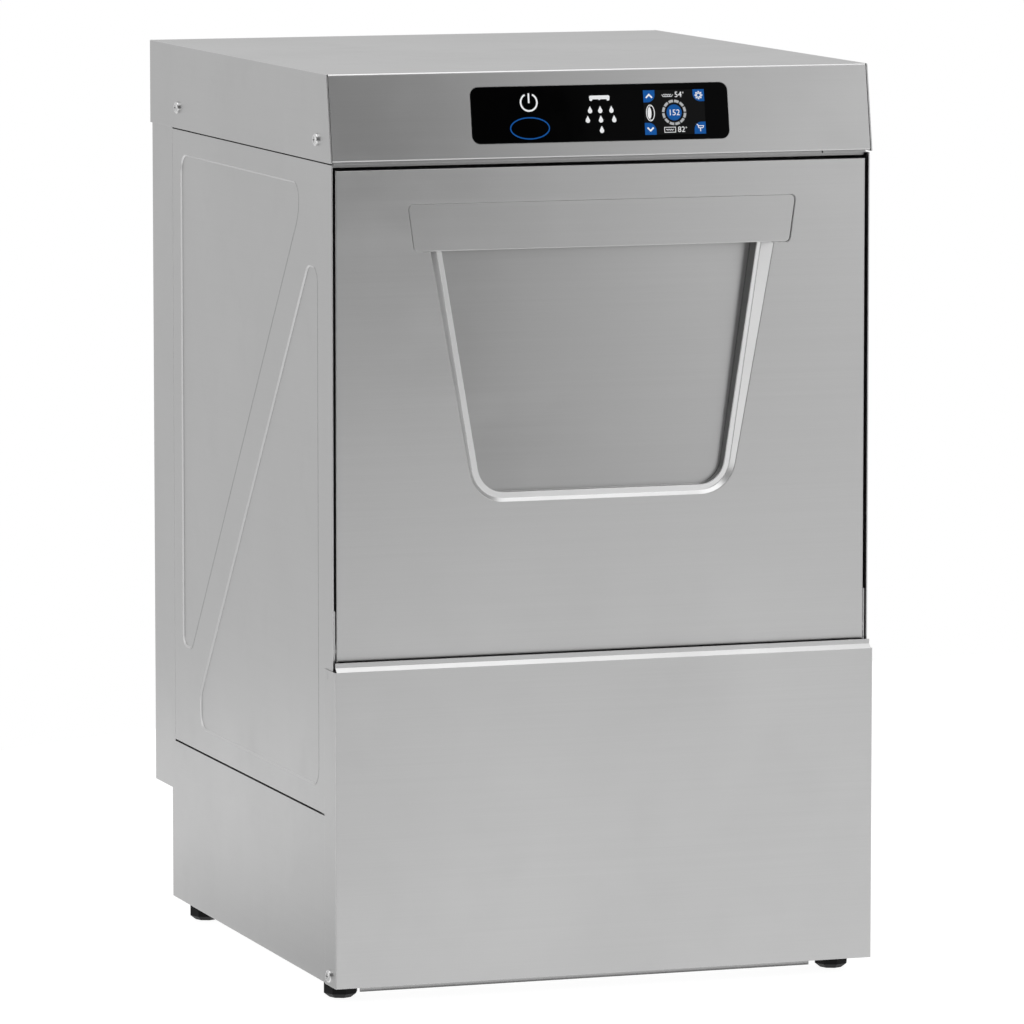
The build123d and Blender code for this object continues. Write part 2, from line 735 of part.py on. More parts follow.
def make_sump_tank():
    """Deep tank under the chamber, with its flange and the holes for pipes and heater."""
    top = CHAMBER_FLOOR - SHEET
    flange = 9.0
    drain_radius = 10.0
    suction_radius = 11.0
    with BuildPart() as sump:
        block(
            (-SUMP_HALF - SHEET, SUMP_HALF + SHEET),
            (SUMP_FRONT - SHEET, SUMP_REAR + SHEET),
            (SUMP_BOTTOM - SHEET, top),
        )
        block(
            (-SUMP_HALF - flange, SUMP_HALF + flange),
            (SUMP_FRONT - flange, SUMP_REAR + flange),
            (top - SHEET, top),
        )
        block((-SUMP_HALF, SUMP_HALF), (SUMP_FRONT, SUMP_REAR), (SUMP_BOTTOM, top + 1), Mode.SUBTRACT)
        drill((SUMP_HALF, SPRAY_Y, FEED_Z), SHEET, PIPE_RADIUS + 0.1, "X")
        drill((STANDPIPE_X, STANDPIPE_Y, SUMP_BOTTOM - SHEET), SHEET, drain_radius)
        drill((SUCTION_X, SUCTION_Y, SUMP_BOTTOM - SHEET), SHEET, suction_radius)
        for x in HEATER_LEGS:
            drill((x, SUMP_REAR, HEATER_Z), SHEET, HEATER_ROD + RUNNING_FIT, "Y")
    save(sump, "sump_tank")


def make_tank_filter():
    """Slotted tray that covers the sump, with holes for the spray arm column and the strainer."""
    base = CHAMBER_FLOOR
    half = SUMP_HALF + 4
    ends = (SUMP_FRONT - 4, SUMP_REAR + 4)
    rim_height = 5.0
    strainer_clear = 58.0
    slot_spots = [
        (x, y)
        for x in (-92, -46, 46, 92)
        for y in range(-96, 112, 9)
        if math.dist((x, y), (STRAINER_X, STRAINER_Y)) > strainer_clear
    ]
    with BuildPart() as tray:
        block((-half, half), ends, (base, base + rim_height))
        block(
            (SHEET - half, half - SHEET),
            (ends[0] + SHEET, ends[1] - SHEET),
            (base + SHEET, base + rim_height + 1),
            Mode.SUBTRACT,
        )
        with BuildSketch(Plane.XY.offset(base - 1)) as slots:
            with Locations(*slot_spots):
                SlotOverall(36, 3)
        extrude(slots.sketch, amount=SHEET + 2, mode=Mode.SUBTRACT)
        drill((0, SPRAY_Y, base), SHEET, COLUMN_RADIUS + 1)
        drill((STRAINER_X, STRAINER_Y, base), SHEET, STRAINER_RADIUS + 0.4)
    save(tray, "tank_filter")


def make_filter_basket():
    """Lift-out strainer cup with a rim that hangs on the filter tray and a bow handle."""
    rim_z = CHAMBER_FLOOR + SHEET
    rim_thick = 1.2
    rim_width = 5.0
    low = 182.0
    bow_half = 2.0
    bow_height = 10.0
    with BuildPart() as basket:
        rod((STRAINER_X, STRAINER_Y, low), rim_z - low + rim_thick, STRAINER_RADIUS)
        rod((STRAINER_X, STRAINER_Y, rim_z), rim_thick, STRAINER_RADIUS + rim_width)
        rod((STRAINER_X, STRAINER_Y, low + SHEET), 90, STRAINER_RADIUS - SHEET, mode=Mode.SUBTRACT)
        with Locations((STRAINER_X, STRAINER_Y, 0)):
            with PolarLocations(STRAINER_RADIUS, 12):
                with Locations((0, 0, low + 18), (0, 0, low + 43)):
                    Box(6, 4, 18, mode=Mode.SUBTRACT)
        bow_x = (STRAINER_X - bow_half, STRAINER_X + bow_half)
        block(
            bow_x,
            (STRAINER_Y - STRAINER_RADIUS, STRAINER_Y + STRAINER_RADIUS),
            (rim_z + bow_height - 2, rim_z + bow_height),
        )
        for edge in (-STRAINER_RADIUS, STRAINER_RADIUS - 2):
            leg_y = (STRAINER_Y + edge, STRAINER_Y + edge + 2)
            block(bow_x, leg_y, (rim_z, rim_z + bow_height))
    save(basket, "filter_basket")


def make_standpipe():
    """Overflow pipe that plugs the drain, with a rounded collar to lift it by."""
    outer = 12.5
    bore = 10.5
    length = 94.0
    foot_radius = 16.0
    collar_radius = 15.0
    collar_z = SUMP_BOTTOM + 85.0
    with BuildPart() as standpipe:
        rod((STANDPIPE_X, STANDPIPE_Y, SUMP_BOTTOM), 4, foot_radius)
        rod((STANDPIPE_X, STANDPIPE_Y, SUMP_BOTTOM), length, outer)
        rod((STANDPIPE_X, STANDPIPE_Y, collar_z), 3, collar_radius)
        drill((STANDPIPE_X, STANDPIPE_Y, SUMP_BOTTOM), length, bore)
    save(standpipe, "standpipe")


def make_tank_heater():
    """Hairpin element on a flange outside the rear wall of the sump."""
    left, right = HEATER_LEGS
    flange_y = SUMP_REAR + SHEET
    ends_y = flange_y + 12
    turn_y = -85.0
    with BuildPart() as heater:
        route = [
            (left, ends_y, HEATER_Z),
            (left, turn_y, HEATER_Z),
            (right, turn_y, HEATER_Z),
            (right, ends_y, HEATER_Z),
        ]
        pipe(route, HEATER_ROD, 22)
        block((left - 14, right + 14), (flange_y, flange_y + 4), (HEATER_Z - 8, HEATER_Z + 22))
    save(heater, "tank_heater")


def make_arm_column():
    """Fixed column that feeds the two lower spray arms, with its feed tube from the right."""
    foot_height = 3.0
    foot_radius = 34.0
    wall = 2.0
    hollow_height = 90.0
    collar_z = LOWER_RINSE_Z + 11
    with BuildPart() as column:
        rod((0, SPRAY_Y, SUMP_BOTTOM), foot_height, foot_radius)
        rod((0, SPRAY_Y, SUMP_BOTTOM), LOWER_WASH_Z - 1 - SUMP_BOTTOM, COLUMN_RADIUS)
        rod((0, SPRAY_Y, SUMP_BOTTOM), collar_z + foot_height - SUMP_BOTTOM, SPINDLE_RADIUS)
        rod((0, SPRAY_Y, FEED_Z), SUMP_HALF + SHEET, PIPE_RADIUS, "X")
        rod((0, SPRAY_Y, SUMP_BOTTOM + 4), hollow_height, COLUMN_RADIUS - wall, mode=Mode.SUBTRACT)
        rod((0, SPRAY_Y, FEED_Z), SUMP_HALF + 3, PIPE_RADIUS - wall, "X", Mode.SUBTRACT)
        rod((0, SPRAY_Y, collar_z), foot_height, SPINDLE_RADIUS + 3)
        fillet(column.faces().sort_by(Axis.Z)[-1].edges(), 1.2)
    save(column, "arm_column")


def make_upper_manifold():
    """Ceiling manifold for the two upper arms; a collar at its end keeps them on."""
    bowl_depth = 26.0
    bowl_radius = 24.0
    neck_radius = 10.5
    collar_z = UPPER_RINSE_Z - 3.5
    bowl_z = CHAMBER_ROOF - bowl_depth
    with BuildPart() as manifold:
        rod((0, SPRAY_Y, CHAMBER_ROOF), -bowl_depth, bowl_radius)
        rod((0, SPRAY_Y, CHAMBER_ROOF), SHEET, neck_radius)
        rod((0, SPRAY_Y, bowl_z), collar_z - bowl_z, SPINDLE_RADIUS)
        rod((0, SPRAY_Y, collar_z), 3, SPINDLE_RADIUS + 3)
        fillet(manifold.faces().sort_by(Axis.Z)[0].edges(), 1.2)
        rounds = manifold.edges().filter_by(GeomType.CIRCLE)
        bowl_rounds = rounds.filter_by(lambda edge: edge.radius > bowl_radius - 1)
        fillet(bowl_rounds.sort_by(Axis.Z)[0], 5)
    save(manifold, "upper_manifold")


def make_wash_arm(name, z, up):
    """Wash arm: a hub on the spindle and two flat tubes with a row of slots on the wet side."""
    height = 11.0
    reach = 158.0
    half_width = 14.0
    hub_radius = 24.0
    wall = 1.5
    hollow = (28.0, reach - 8.0)
    wet = z + height if up else z
    with BuildPart() as arm:
        block((-reach, reach), (SPRAY_Y - half_width, SPRAY_Y + half_width), (z, z + height))
        rod((0, SPRAY_Y, z), height, hub_radius)
        fillet(arm.edges().filter_by(Axis.Z).filter_by(lambda e: abs(e.center().X) > reach - 1), 10)
        fillet(arm.faces().sort_by(Axis.Z)[-1].edges(), 2)
        fillet(arm.faces().sort_by(Axis.Z)[0].edges(), 2)
        for side in (-1, 1):
            block(
                paired(*hollow, side),
                (SPRAY_Y - half_width + 3, SPRAY_Y + half_width - 3),
                (z + wall, z + height - wall),
                Mode.SUBTRACT,
            )
        for distance in (44, 74, 104, 134):
            for side in (-1, 1):
                with Locations((side * distance, SPRAY_Y + side * 3, wet)):
                    Box(3, 15, 5, mode=Mode.SUBTRACT)
        drill((0, SPRAY_Y, z), height, SPINDLE_RADIUS + RUNNING_FIT)
    save(arm, name)


def make_rinse_arm(name, z, up):
    """Rinse arm: a slim hub and two thin tubes with raised jets."""
    tube = 4.5
    reach = 150.0
    hub_height = 9.0
    hub_radius = 17.0
    jet_length = tube + 0.9 if up else -tube - 0.9
    bore_length = 8.0 if up else -8.0
    with BuildPart() as arm:
        rod((0, SPRAY_Y, z), hub_height, hub_radius)
        rod((-reach, SPRAY_Y, z + tube), 2 * reach, tube, "X")
        fillet(arm.faces().sort_by(Axis.X)[-1].edges(), 2)
        fillet(arm.faces().sort_by(Axis.X)[0].edges(), 2)
        for distance in (38, 70, 102, 134):
            for side in (-1, 1):
                jet = (side * distance, SPRAY_Y, z + tube)
                rod(jet, jet_length, 2.6)
                rod(jet, bore_length, 0.9, mode=Mode.SUBTRACT)
        drill((0, SPRAY_Y, z), hub_height, SPINDLE_RADIUS + RUNNING_FIT)
    save(arm, name)


def make_rack_rails():
    """Two angle rails that the basket slides on, with a lip along the free edge."""
    thick = 1.5
    free_edge = 172.0
    ends = (-182.0, 190.0)
    with BuildPart() as rails:
        for side in (-1, 1):
            wall = paired(CHAMBER_HALF - thick, CHAMBER_HALF, side)
            lip = paired(free_edge, free_edge + thick, side)
            block(paired(free_edge, CHAMBER_HALF, side), ends, (RAIL_Z, RAIL_Z + thick))
            block(wall, ends, (RAIL_Z, RAIL_Z + 26))
            block(lip, ends, (RAIL_Z - 6, RAIL_Z))
    save(rails, "rack_rails")


# ---------------------------------------------------------------- pump, boiler and plumbing
def make_pump_volute():
    """Snail housing with a hollow for the impeller, an inlet boss and an outlet stub."""
    wall = 3.0
    boss = 8.0
    outlet_length = PUMP_OUTLET_Z - PUMP_Z
    foot_top = 42.0
    with BuildPart() as volute:
        rod((PUMP_X, VOLUTE_FRONT, PUMP_Z), VOLUTE_REAR - VOLUTE_FRONT, VOLUTE_RADIUS, "Y")
        rod((PIPE_X, PIPE_Y, PUMP_Z), outlet_length, PIPE_RADIUS)
        rod((PUMP_X, VOLUTE_FRONT - boss, PUMP_Z), boss, HOSE_RADIUS + 3, "Y")
        block((PUMP_X - 42, PUMP_X + 30), (-170, -150), (TRAY_Z + TRAY_THICK, foot_top))
        inside = (PUMP_X, VOLUTE_FRONT + wall, PUMP_Z)
        inside_length = VOLUTE_REAR - VOLUTE_FRONT - 2 * wall
        rod(inside, inside_length, VOLUTE_RADIUS - 2 * wall, "Y", Mode.SUBTRACT)
        drill((PUMP_X, VOLUTE_FRONT - boss, PUMP_Z), boss + wall, HOSE_RADIUS - 2, "Y")
        drill((PUMP_X, VOLUTE_REAR - wall, PUMP_Z), wall, SHAFT_RADIUS + RUNNING_FIT, "Y")
        drill((PIPE_X, PIPE_Y, PUMP_Z), outlet_length, PIPE_RADIUS - 2)
    save(volute, "pump_volute")


def around_shaft(turn, y):
    """The plane across the pump shaft at a given depth, turned by an angle in degrees."""
    angle = math.radians(turn)
    return Plane(
        origin=(PUMP_X, y, PUMP_Z),
        x_dir=(math.cos(angle), 0, math.sin(angle)),
        z_dir=(0, 1, 0),
    )


def make_pump_motor():
    """Motor with cooling fins on a folded foot."""
    flange = (8.0, 50.0)
    length = 132.0
    radius = 44.0
    fin_size = (7.0, 1.8)
    fin_length = 84.0
    foot_half = 36.0
    foot_y = (-112.0, -30.0)
    foot_top = 46.0
    wall = 3.0
    with BuildPart() as motor:
        rod((PUMP_X, VOLUTE_REAR, PUMP_Z), *flange, "Y")
        rod((PUMP_X, VOLUTE_REAR, PUMP_Z), length, radius, "Y")
        for turn in range(0, 360, 15):
            with BuildSketch(around_shaft(turn, VOLUTE_REAR + 20)) as rib:
                with Locations((radius + 2, 0)):
                    Rectangle(*fin_size)
            extrude(rib.sketch, amount=fin_length)
        fillet(motor.faces().sort_by(Axis.Y)[-1].edges(), 4)
        low = TRAY_Z + TRAY_THICK
        block((PUMP_X - foot_half, PUMP_X + foot_half), foot_y, (low, foot_top))
        block(
            (PUMP_X - foot_half + 8, PUMP_X + foot_half - 8),
            (foot_y[0] - 1, foot_y[1] + 1),
            (low + wall, foot_top - wall),
            Mode.SUBTRACT,
        )
        rod((PUMP_X, VOLUTE_REAR - 1, PUMP_Z), 40, SHAFT_RADIUS + RUNNING_FIT, "Y", Mode.SUBTRACT)
    save(motor, "pump_motor")


def make_pump_impeller():
    """Back plate with curved vanes on the shaft that runs back into the motor."""
    plate_y = VOLUTE_REAR - 14
    hub_length = 12.0
    vane_height = 10.0
    with BuildPart() as impeller:
        rod((PUMP_X, plate_y, PUMP_Z), 4, 46, "Y")
        rod((PUMP_X, plate_y - hub_length, PUMP_Z), hub_length, 11, "Y")
        rod((PUMP_X, plate_y, PUMP_Z), 50, SHAFT_RADIUS, "Y")
        for turn in range(0, 360, 60):
            with BuildSketch(around_shaft(turn, plate_y - vane_height)) as blade:
                with BuildLine():
                    ThreePointArc((10, 0), (28, 7), (44, 3))
                    Line((44, 3), (43, 5))
                    ThreePointArc((43, 5), (27, 9.5), (9, 3))
                    Line((9, 3), (10, 0))
                make_face()
            extrude(blade.sketch, amount=vane_height)
    save(impeller, "pump_impeller")


def make_wash_pipe():
    """Rigid pipe from the pump to both sets of arms, up the back of the chamber."""
    drop_x = 4.0
    with BuildPart() as wash_pipe:
        route = [
            (PIPE_X, PIPE_Y, PUMP_OUTLET_Z),
            (PIPE_X, PIPE_Y, FEED_Z),
            (PIPE_X, BACK_PIPE_Y, FEED_Z),
            (PIPE_X, BACK_PIPE_Y, OVERHEAD_Z),
            (PIPE_X, SPRAY_Y, OVERHEAD_Z),
            (drop_x, SPRAY_Y, OVERHEAD_Z),
            (drop_x, SPRAY_Y, CHAMBER_ROOF + SHEET),
        ]
        pipe(route, PIPE_RADIUS, 24)
        branch = SUMP_HALF + SHEET
        rod((branch, SPRAY_Y, FEED_Z), PIPE_X - branch, PIPE_RADIUS, "X")
    save(wash_pipe, "wash_pipe")


def make_suction_hose():
    """Hose from the floor of the sump to the inlet boss of the pump."""
    inlet_y = VOLUTE_FRONT - 8
    turn_y = inlet_y - 28
    with BuildPart() as suction_hose:
        route = [
            (SUCTION_X, SUCTION_Y, SUMP_BOTTOM - SHEET),
            (SUCTION_X, SUCTION_Y, PUMP_Z),
            (SUCTION_X, turn_y, PUMP_Z),
            (PUMP_X, turn_y, PUMP_Z),
            (PUMP_X, inlet_y, PUMP_Z),
        ]
        pipe(route, HOSE_RADIUS, 20, HOSE_RADIUS - 3)
    save(suction_hose, "suction_hose")


def make_rinse_pipe():
    """Thin pipe from the top of the boiler to the ceiling manifold."""
    outlet_x = BOILER_X - 15
    outlet_z = BOILER_Z + 30
    drop_x = -16.0
    drop_y = SPRAY_Y - 60
    with BuildPart() as rinse_pipe:
        route = [
            (outlet_x, BOILER_REAR, outlet_z),
            (outlet_x, BACK_PIPE_Y, outlet_z),
            (outlet_x, BACK_PIPE_Y, OVERHEAD_Z),
            (outlet_x, drop_y, OVERHEAD_Z),
            (drop_x, drop_y, OVERHEAD_Z),
            (drop_x, drop_y, CHAMBER_ROOF + SHEET),
        ]
        pipe(route, THIN_PIPE_RADIUS, 18)
    save(rinse_pipe, "rinse_pipe")


def make_fill_hose():
    """Short hose from the fill valve to the stub on the boiler."""
    with BuildPart() as fill_hose:
        route = [
            (INLET_X, VALVE_Y, PORT_Z),
            (INLET_X, FILL_Y, PORT_Z),
            (BOILER_X + 56, FILL_Y, PORT_Z),
        ]
        pipe(route, THIN_PIPE_RADIUS, 14)
    save(fill_hose, "fill_hose")


def make_boiler():
    """Horizontal rinse boiler on two saddles, with a fill stub on its right side."""
    wall = 2.0
    length = BOILER_REAR - BOILER_FRONT
    saddle_half = 34.0
    saddle_thick = 4.0
    with BuildPart() as boiler:
        rod((BOILER_X, BOILER_FRONT, BOILER_Z), length, BOILER_RADIUS, "Y")
        fillet(boiler.edges(), 10)
        rod((BOILER_X + 40, FILL_Y, PORT_Z), 16, 9, "X")
        for y in (-30, 112):
            block(
                (BOILER_X - saddle_half, BOILER_X + saddle_half),
                (y, y + saddle_thick),
                (TRAY_Z + TRAY_THICK, BOILER_Z),
            )
        inside = (BOILER_X, BOILER_FRONT + wall, BOILER_Z)
        rod(inside, length - 2 * wall, BOILER_RADIUS - wall, "Y", Mode.SUBTRACT)
        drill((BOILER_X, BOILER_FRONT, BOILER_Z), wall, 24, "Y")
    save(boiler, "boiler")


def make_boiler_heater():
    """Heating element on a round flange, with its thermostat pocket and terminals."""
    flange_thick = 5.0
    flange_radius = 33.0
    leg_x = 12.0
    leg_radius = 4.0
    terminal = 14.0
    reach = 150.0
    with BuildPart() as heater:
        rod((BOILER_X, BOILER_FRONT, BOILER_Z), -flange_thick, flange_radius, "Y")
        for x in (BOILER_X - leg_x, BOILER_X + leg_x):
            rod((x, BOILER_FRONT - terminal, BOILER_Z), terminal + reach, leg_radius, "Y")
        block(
            (BOILER_X - leg_x - leg_radius, BOILER_X + leg_x + leg_radius),
            (BOILER_FRONT + reach - 4, BOILER_FRONT + reach + 2),
            (BOILER_Z - leg_radius, BOILER_Z + leg_radius),
        )
        rod((BOILER_X, BOILER_FRONT - 9, BOILER_Z + 14), 90, 3, "Y")
    save(heater, "boiler_heater")


def make_drain_pump():
    """Drain pump hung under the standpipe, with its outlet towards the spigot."""
    low = TRAY_Z + TRAY_THICK
    motor_height = 74.0
    head_height = 12.0
    neck_z = low + motor_height + head_height
    outlet_y = STANDPIPE_Y + 20
    with BuildPart() as pump:
        rod((STANDPIPE_X, STANDPIPE_Y, low), motor_height, 28)
        rod((STANDPIPE_X, STANDPIPE_Y, low + motor_height), head_height, 34)
        rod((STANDPIPE_X, STANDPIPE_Y, neck_z), SUMP_BOTTOM - SHEET - neck_z, HOSE_RADIUS)
        rod((DRAIN_X, outlet_y, PORT_Z), PORT_INNER_Y - outlet_y, 10, "Y")
    save(pump, "drain_pump")


def make_drain_connector():
    """Drain spigot clamped through the lower back panel."""
    inside = STEP_Y - PORT_INNER_Y
    with BuildPart() as spigot:
        rod((DRAIN_X, PORT_INNER_Y, PORT_Z), 42, 11, "Y")
        rod((DRAIN_X, STEP_Y, PORT_Z), 3, 18, "Y")
        rod((DRAIN_X, PORT_INNER_Y, PORT_Z), inside, 14, "Y")
        rod((DRAIN_X, STEP_Y - 4, PORT_Z), 50, 8, "Y", Mode.SUBTRACT)
    save(spigot, "drain_connector")


def make_cable_gland():
    """Cable gland clamped through the lower back panel: two nuts and a domed cap."""
    with BuildPart() as gland:
        rod((GLAND_X, PORT_INNER_Y, PORT_Z), 30, 12.5, "Y")
        for start, thick in ((STEP_Y - SHEET - 5, 5), (STEP_Y, 6)):
            face = Plane(origin=(GLAND_X, start, PORT_Z), x_dir=(1, 0, 0), z_dir=(0, 1, 0))
            with BuildSketch(face) as nut:
                RegularPolygon(15, 6, major_radius=False)
            extrude(nut.sketch, amount=thick)
        rod((GLAND_X, STEP_Y + 8, PORT_Z), 17, 14.5, "Y")
        fillet(gland.faces().sort_by(Axis.Y)[-1].edges(), 3)
        rod((GLAND_X, PORT_INNER_Y - 2, PORT_Z), 40, GLAND_BORE, "Y", Mode.SUBTRACT)
    save(gland, "cable_gland")


def make_inlet_valve():
    """Solenoid fill valve whose threaded inlet passes through the lower back panel."""
    body_y = 160.0
    coil_half = 13.0
    thread_length = 24.0
    with BuildPart() as valve:
        rod((INLET_X, VALVE_Y, PORT_Z), 22, 9, "Y")
        rod((INLET_X, body_y, PORT_Z), STEP_Y - SHEET - body_y, 15, "Y")
        rod((INLET_X, STEP_Y - 4, PORT_Z), 6, INLET_HOLE - 0.1, "Y")
        rod((INLET_X, STEP_Y, PORT_Z), 4, 16.5, "Y")
        rod((INLET_X, STEP_Y, PORT_Z), thread_length, INLET_RADIUS, "Y")
        chamfer(valve.faces().sort_by(Axis.Y)[-1].edges(), 1)
        rod((INLET_X, STEP_Y + 8, PORT_Z), 20, 9, "Y", Mode.SUBTRACT)
        rod((INLET_X, body_y + 12, PORT_Z), thread_length, 8)
        block(
            (INLET_X - coil_half, INLET_X + coil_half),
            (body_y, body_y + 24),
            (PORT_Z + 17, PORT_Z + 34),
        )
    save(valve, "inlet_valve")


def make_control_box():
    """Electrical box on two feet, with a row of contactors on a rail inside."""
    x = (112.0, 182.0)
    y = (22.0, 152.0)
    z = (TRAY_Z + TRAY_THICK + 20, 132.0)
    wall = 1.5
    contactor_width = 22.0
    foot_half = 4.0
    with BuildPart() as box:
        block(x, y, z)
        block(
            (x[0] + wall, x[1] - wall),
            (y[0] + wall, y[1] - wall),
            (z[0] + wall, z[1] - wall),
            Mode.SUBTRACT,
        )
        block((x[0] + 1, x[0] + 8), (y[0] + 1, y[1] - 1), (z[0] + 28, z[0] + 38))
        for start in (34, 62, 90, 118):
            block((x[0] + 7, x[0] + 46), (start, start + contactor_width), (z[0] + 14, z[0] + 52))
        for foot_y in (y[0] + 6, y[1] - 6):
            block(
                (x[0] + foot_half, x[1] - foot_half),
                (foot_y - foot_half, foot_y + foot_half),
                (TRAY_Z + TRAY_THICK, z[0]),
            )
    save(box, "control_box")


def make_dosing_pumps():
    """Rinse aid and detergent dosing pumps: two sealed units on feet."""
    low = TRAY_Z + TRAY_THICK
    half_width = 21.0
    body_y = (-172.0, -118.0)
    height = 62.0
    axis_z = low + 36
    head_depth = 14.0
    with BuildPart() as pumps:
        for x in (-158, -96):
            block((x - half_width, x + half_width), body_y, (low, low + height))
            rod((x, body_y[0], axis_z), -head_depth, 19, "Y")
            rod((x, body_y[0] - head_depth, axis_z), -4, 8, "Y")
            for port in (-9, 9):
                rod((x + port, body_y[0] - 6, axis_z + head_depth), 22, 2.5)
    save(pumps, "dosing_pumps")


# ---------------------------------------------------------------- door and its spring gear
def make_hinge_posts():
    """Upright plates at the door's lower corners that carry the hinge pins and spring anchors."""
    low_plate = (PIN_PLATE - 2.6, PIN_PLATE)
    high_plate = (PIN_PLATE, PIN_PLATE + 1.1)
    front = -230.0
    low_top = 249.0
    high_top = 292.0
    anchor_half = 6.0
    anchor_thick = 4.0
    with BuildPart() as posts:
        for side in (-1, 1):
            block(paired(*low_plate, side), (front, FRAME_Y), (TRAY_Z + TRAY_THICK, low_top))
            block(paired(*high_plate, side), (front, -198.5), (TRAY_Z + 22, high_top))
            block(
                paired(ROD_X - anchor_half, low_plate[0], side),
                (ROD_Y - anchor_half, ROD_Y + anchor_half),
                (SPRING_BOTTOM - anchor_thick, SPRING_BOTTOM),
            )
            block(paired(190, low_plate[0], side), (FRAME_Y - SHEET, FRAME_Y), (200, low_top))
    save(posts, "hinge_posts")


def make_hinge_pins():
    """Short pins that the door turns on, each with a thin washer."""
    pin_length = 9.0
    washer_thick = 0.35
    washer_radius = 6.0
    with BuildPart() as pins:
        for side in (-1, 1):
            rod((side * PIN_PLATE, PIVOT_Y, PIVOT_Z), -side * pin_length, PIVOT_RADIUS, "X")
            rod((side * PIN_PLATE, PIVOT_Y, PIVOT_Z), -side * washer_thick, washer_radius, "X")
    save(pins, "hinge_pins")


def make_hinge_arms():
    """Arm plate inside each lower corner of the door, with the lever eye below it."""
    thick = 3.0
    arm_y = (-230.4, -196.0)
    arm_z = (256.0, 340.0)
    lap = 1.0
    with BuildPart() as arms:
        for side in (-1, 1):
            reach = (side * ARM_X - thick / 2, side * ARM_X + thick / 2)
            block(reach, arm_y, arm_z)
            block(reach, (LEVER_Y - LEVER_EYE, LEVER_Y + LEVER_EYE), (LEVER_Z, arm_z[0] + lap))
            rod((reach[0], LEVER_Y, LEVER_Z), thick, LEVER_EYE, "X")
            drill((reach[0], LEVER_Y, LEVER_Z), thick, LEVER_HOLE, "X")
            drill((reach[0], PIVOT_Y, PIVOT_Z), thick, PIVOT_RADIUS + RUNNING_FIT, "X")
    save(arms, "hinge_arms")


def make_spring_rod(name, side):
    """Flat rod with a round head and a pin that stands in the lever eye."""
    half_thick = 1.5
    pin_length = 10.0
    pin_radius = 2.0
    inner = side * (ROD_X - half_thick)
    with BuildPart() as spring_rod:
        block(
            paired(ROD_X - half_thick, ROD_X + half_thick, side),
            (ROD_Y - ROD_HALF, ROD_Y + ROD_HALF),
            (ROD_BOTTOM, ROD_PIN_Z),
        )
        rod((inner, ROD_Y, ROD_PIN_Z), side * 2 * half_thick, ROD_HALF, "X")
        rod((inner, ROD_Y, ROD_PIN_Z), side * pin_length, pin_radius, "X")
    save(spring_rod, name)


def make_door_spring(name, side):
    """Close-wound extension spring between the foot of the rod and the anchor on the hinge post."""
    turns = 26
    pitch = (ROD_BOTTOM - SPRING_BOTTOM) / turns
    core = SPRING_RADIUS - SPRING_WIRE
    upright = Plane(origin=(side * ROD_X, ROD_Y, SPRING_BOTTOM), x_dir=(1, 0, 0), z_dir=(0, -1, 0))
    with BuildPart() as spring:
        with BuildSketch(upright) as wound:
            with BuildLine():
                Line((core, pitch * turns), (core, 0))
                Line((core, 0), (SPRING_RADIUS, 0))
                for turn in range(turns):
                    low = turn * pitch
                    ThreePointArc(
                        (SPRING_RADIUS, low),
                        (SPRING_RADIUS + SPRING_WIRE, low + pitch / 2),
                        (SPRING_RADIUS, low + pitch),
                    )
                Line((SPRING_RADIUS, pitch * turns), (core, pitch * turns))
            make_face()
        revolve(wound.sketch, axis=Axis((side * ROD_X, ROD_Y, 0), (0, 0, 1)))
    save(spring, name)


def pocket_outline(corners, low_radius, high_radius):
    """Rounded trapezoid given as (lower z, lower half width), (upper z, upper half width)."""
    (low_z, low_half), (high_z, high_half) = corners
    return FilletPolyline(
        (-low_half, low_z),
        (low_half, low_z),
        (high_half, high_z),
        (-high_half, high_z),
        radius=[low_radius, low_radius, high_radius, high_radius],
        close=True,
    )


def pocket_body(grow, mode):
    """The grip pocket: a sloped wall down to a bead, then a straight wall to a leaning floor."""
    span = POCKET_TOP - POCKET_BOTTOM
    lean = (POCKET_HIGH_HALF - POCKET_LOW_HALF) / span
    bead = Plane(
        origin=(0, DOOR_FACE + BEAD_LOW_DEPTH + grow, POCKET_BOTTOM),
        x_dir=(1, 0, 0),
        z_dir=(0, -1, (BEAD_HIGH_DEPTH - BEAD_LOW_DEPTH) / span),
    )
    floor = Plane(
        origin=(0, DOOR_FACE + FLOOR_LOW_DEPTH + grow, POCKET_BOTTOM),
        x_dir=(1, 0, 0),
        z_dir=(0, -1, (FLOOR_HIGH_DEPTH - FLOOR_LOW_DEPTH) / span),
    )
    rim_corners = (
        (POCKET_BOTTOM - grow, POCKET_LOW_HALF + grow),
        (POCKET_TOP + grow, POCKET_HIGH_HALF + grow),
    )
    bead_corners = (
        (BEAD_LOW_DEPTH - grow, POCKET_LOW_HALF + (lean - 1) * BEAD_LOW_DEPTH + grow),
        (span - BEAD_HIGH_DEPTH + grow, POCKET_HIGH_HALF - (1 + lean) * BEAD_HIGH_DEPTH + grow),
    )
    well_corners = (
        (bead_corners[0][0] + BEAD_WIDTH, bead_corners[0][1] - BEAD_WIDTH),
        (bead_corners[1][0] - BEAD_WIDTH, bead_corners[1][1] - BEAD_WIDTH),
    )
    outlines = (
        (Plane.XZ.offset(-DOOR_FACE), rim_corners, RIM_RADII),
        (bead, bead_corners, BEAD_RADII),
        (bead, well_corners, WELL_RADII),
        (floor, well_corners, WELL_RADII),
    )
    faces = []
    for plane, corners, (low_radius, high_radius) in outlines:
        with BuildSketch(plane) as outline:
            with BuildLine():
                pocket_outline(corners, low_radius + grow, high_radius + grow)
            make_face()
        faces.append(outline.sketch.face())
    rim_face, bead_face, mouth_face, floor_face = faces
    loft([rim_face, bead_face], mode=mode)
    loft([mouth_face, floor_face], mode=mode)


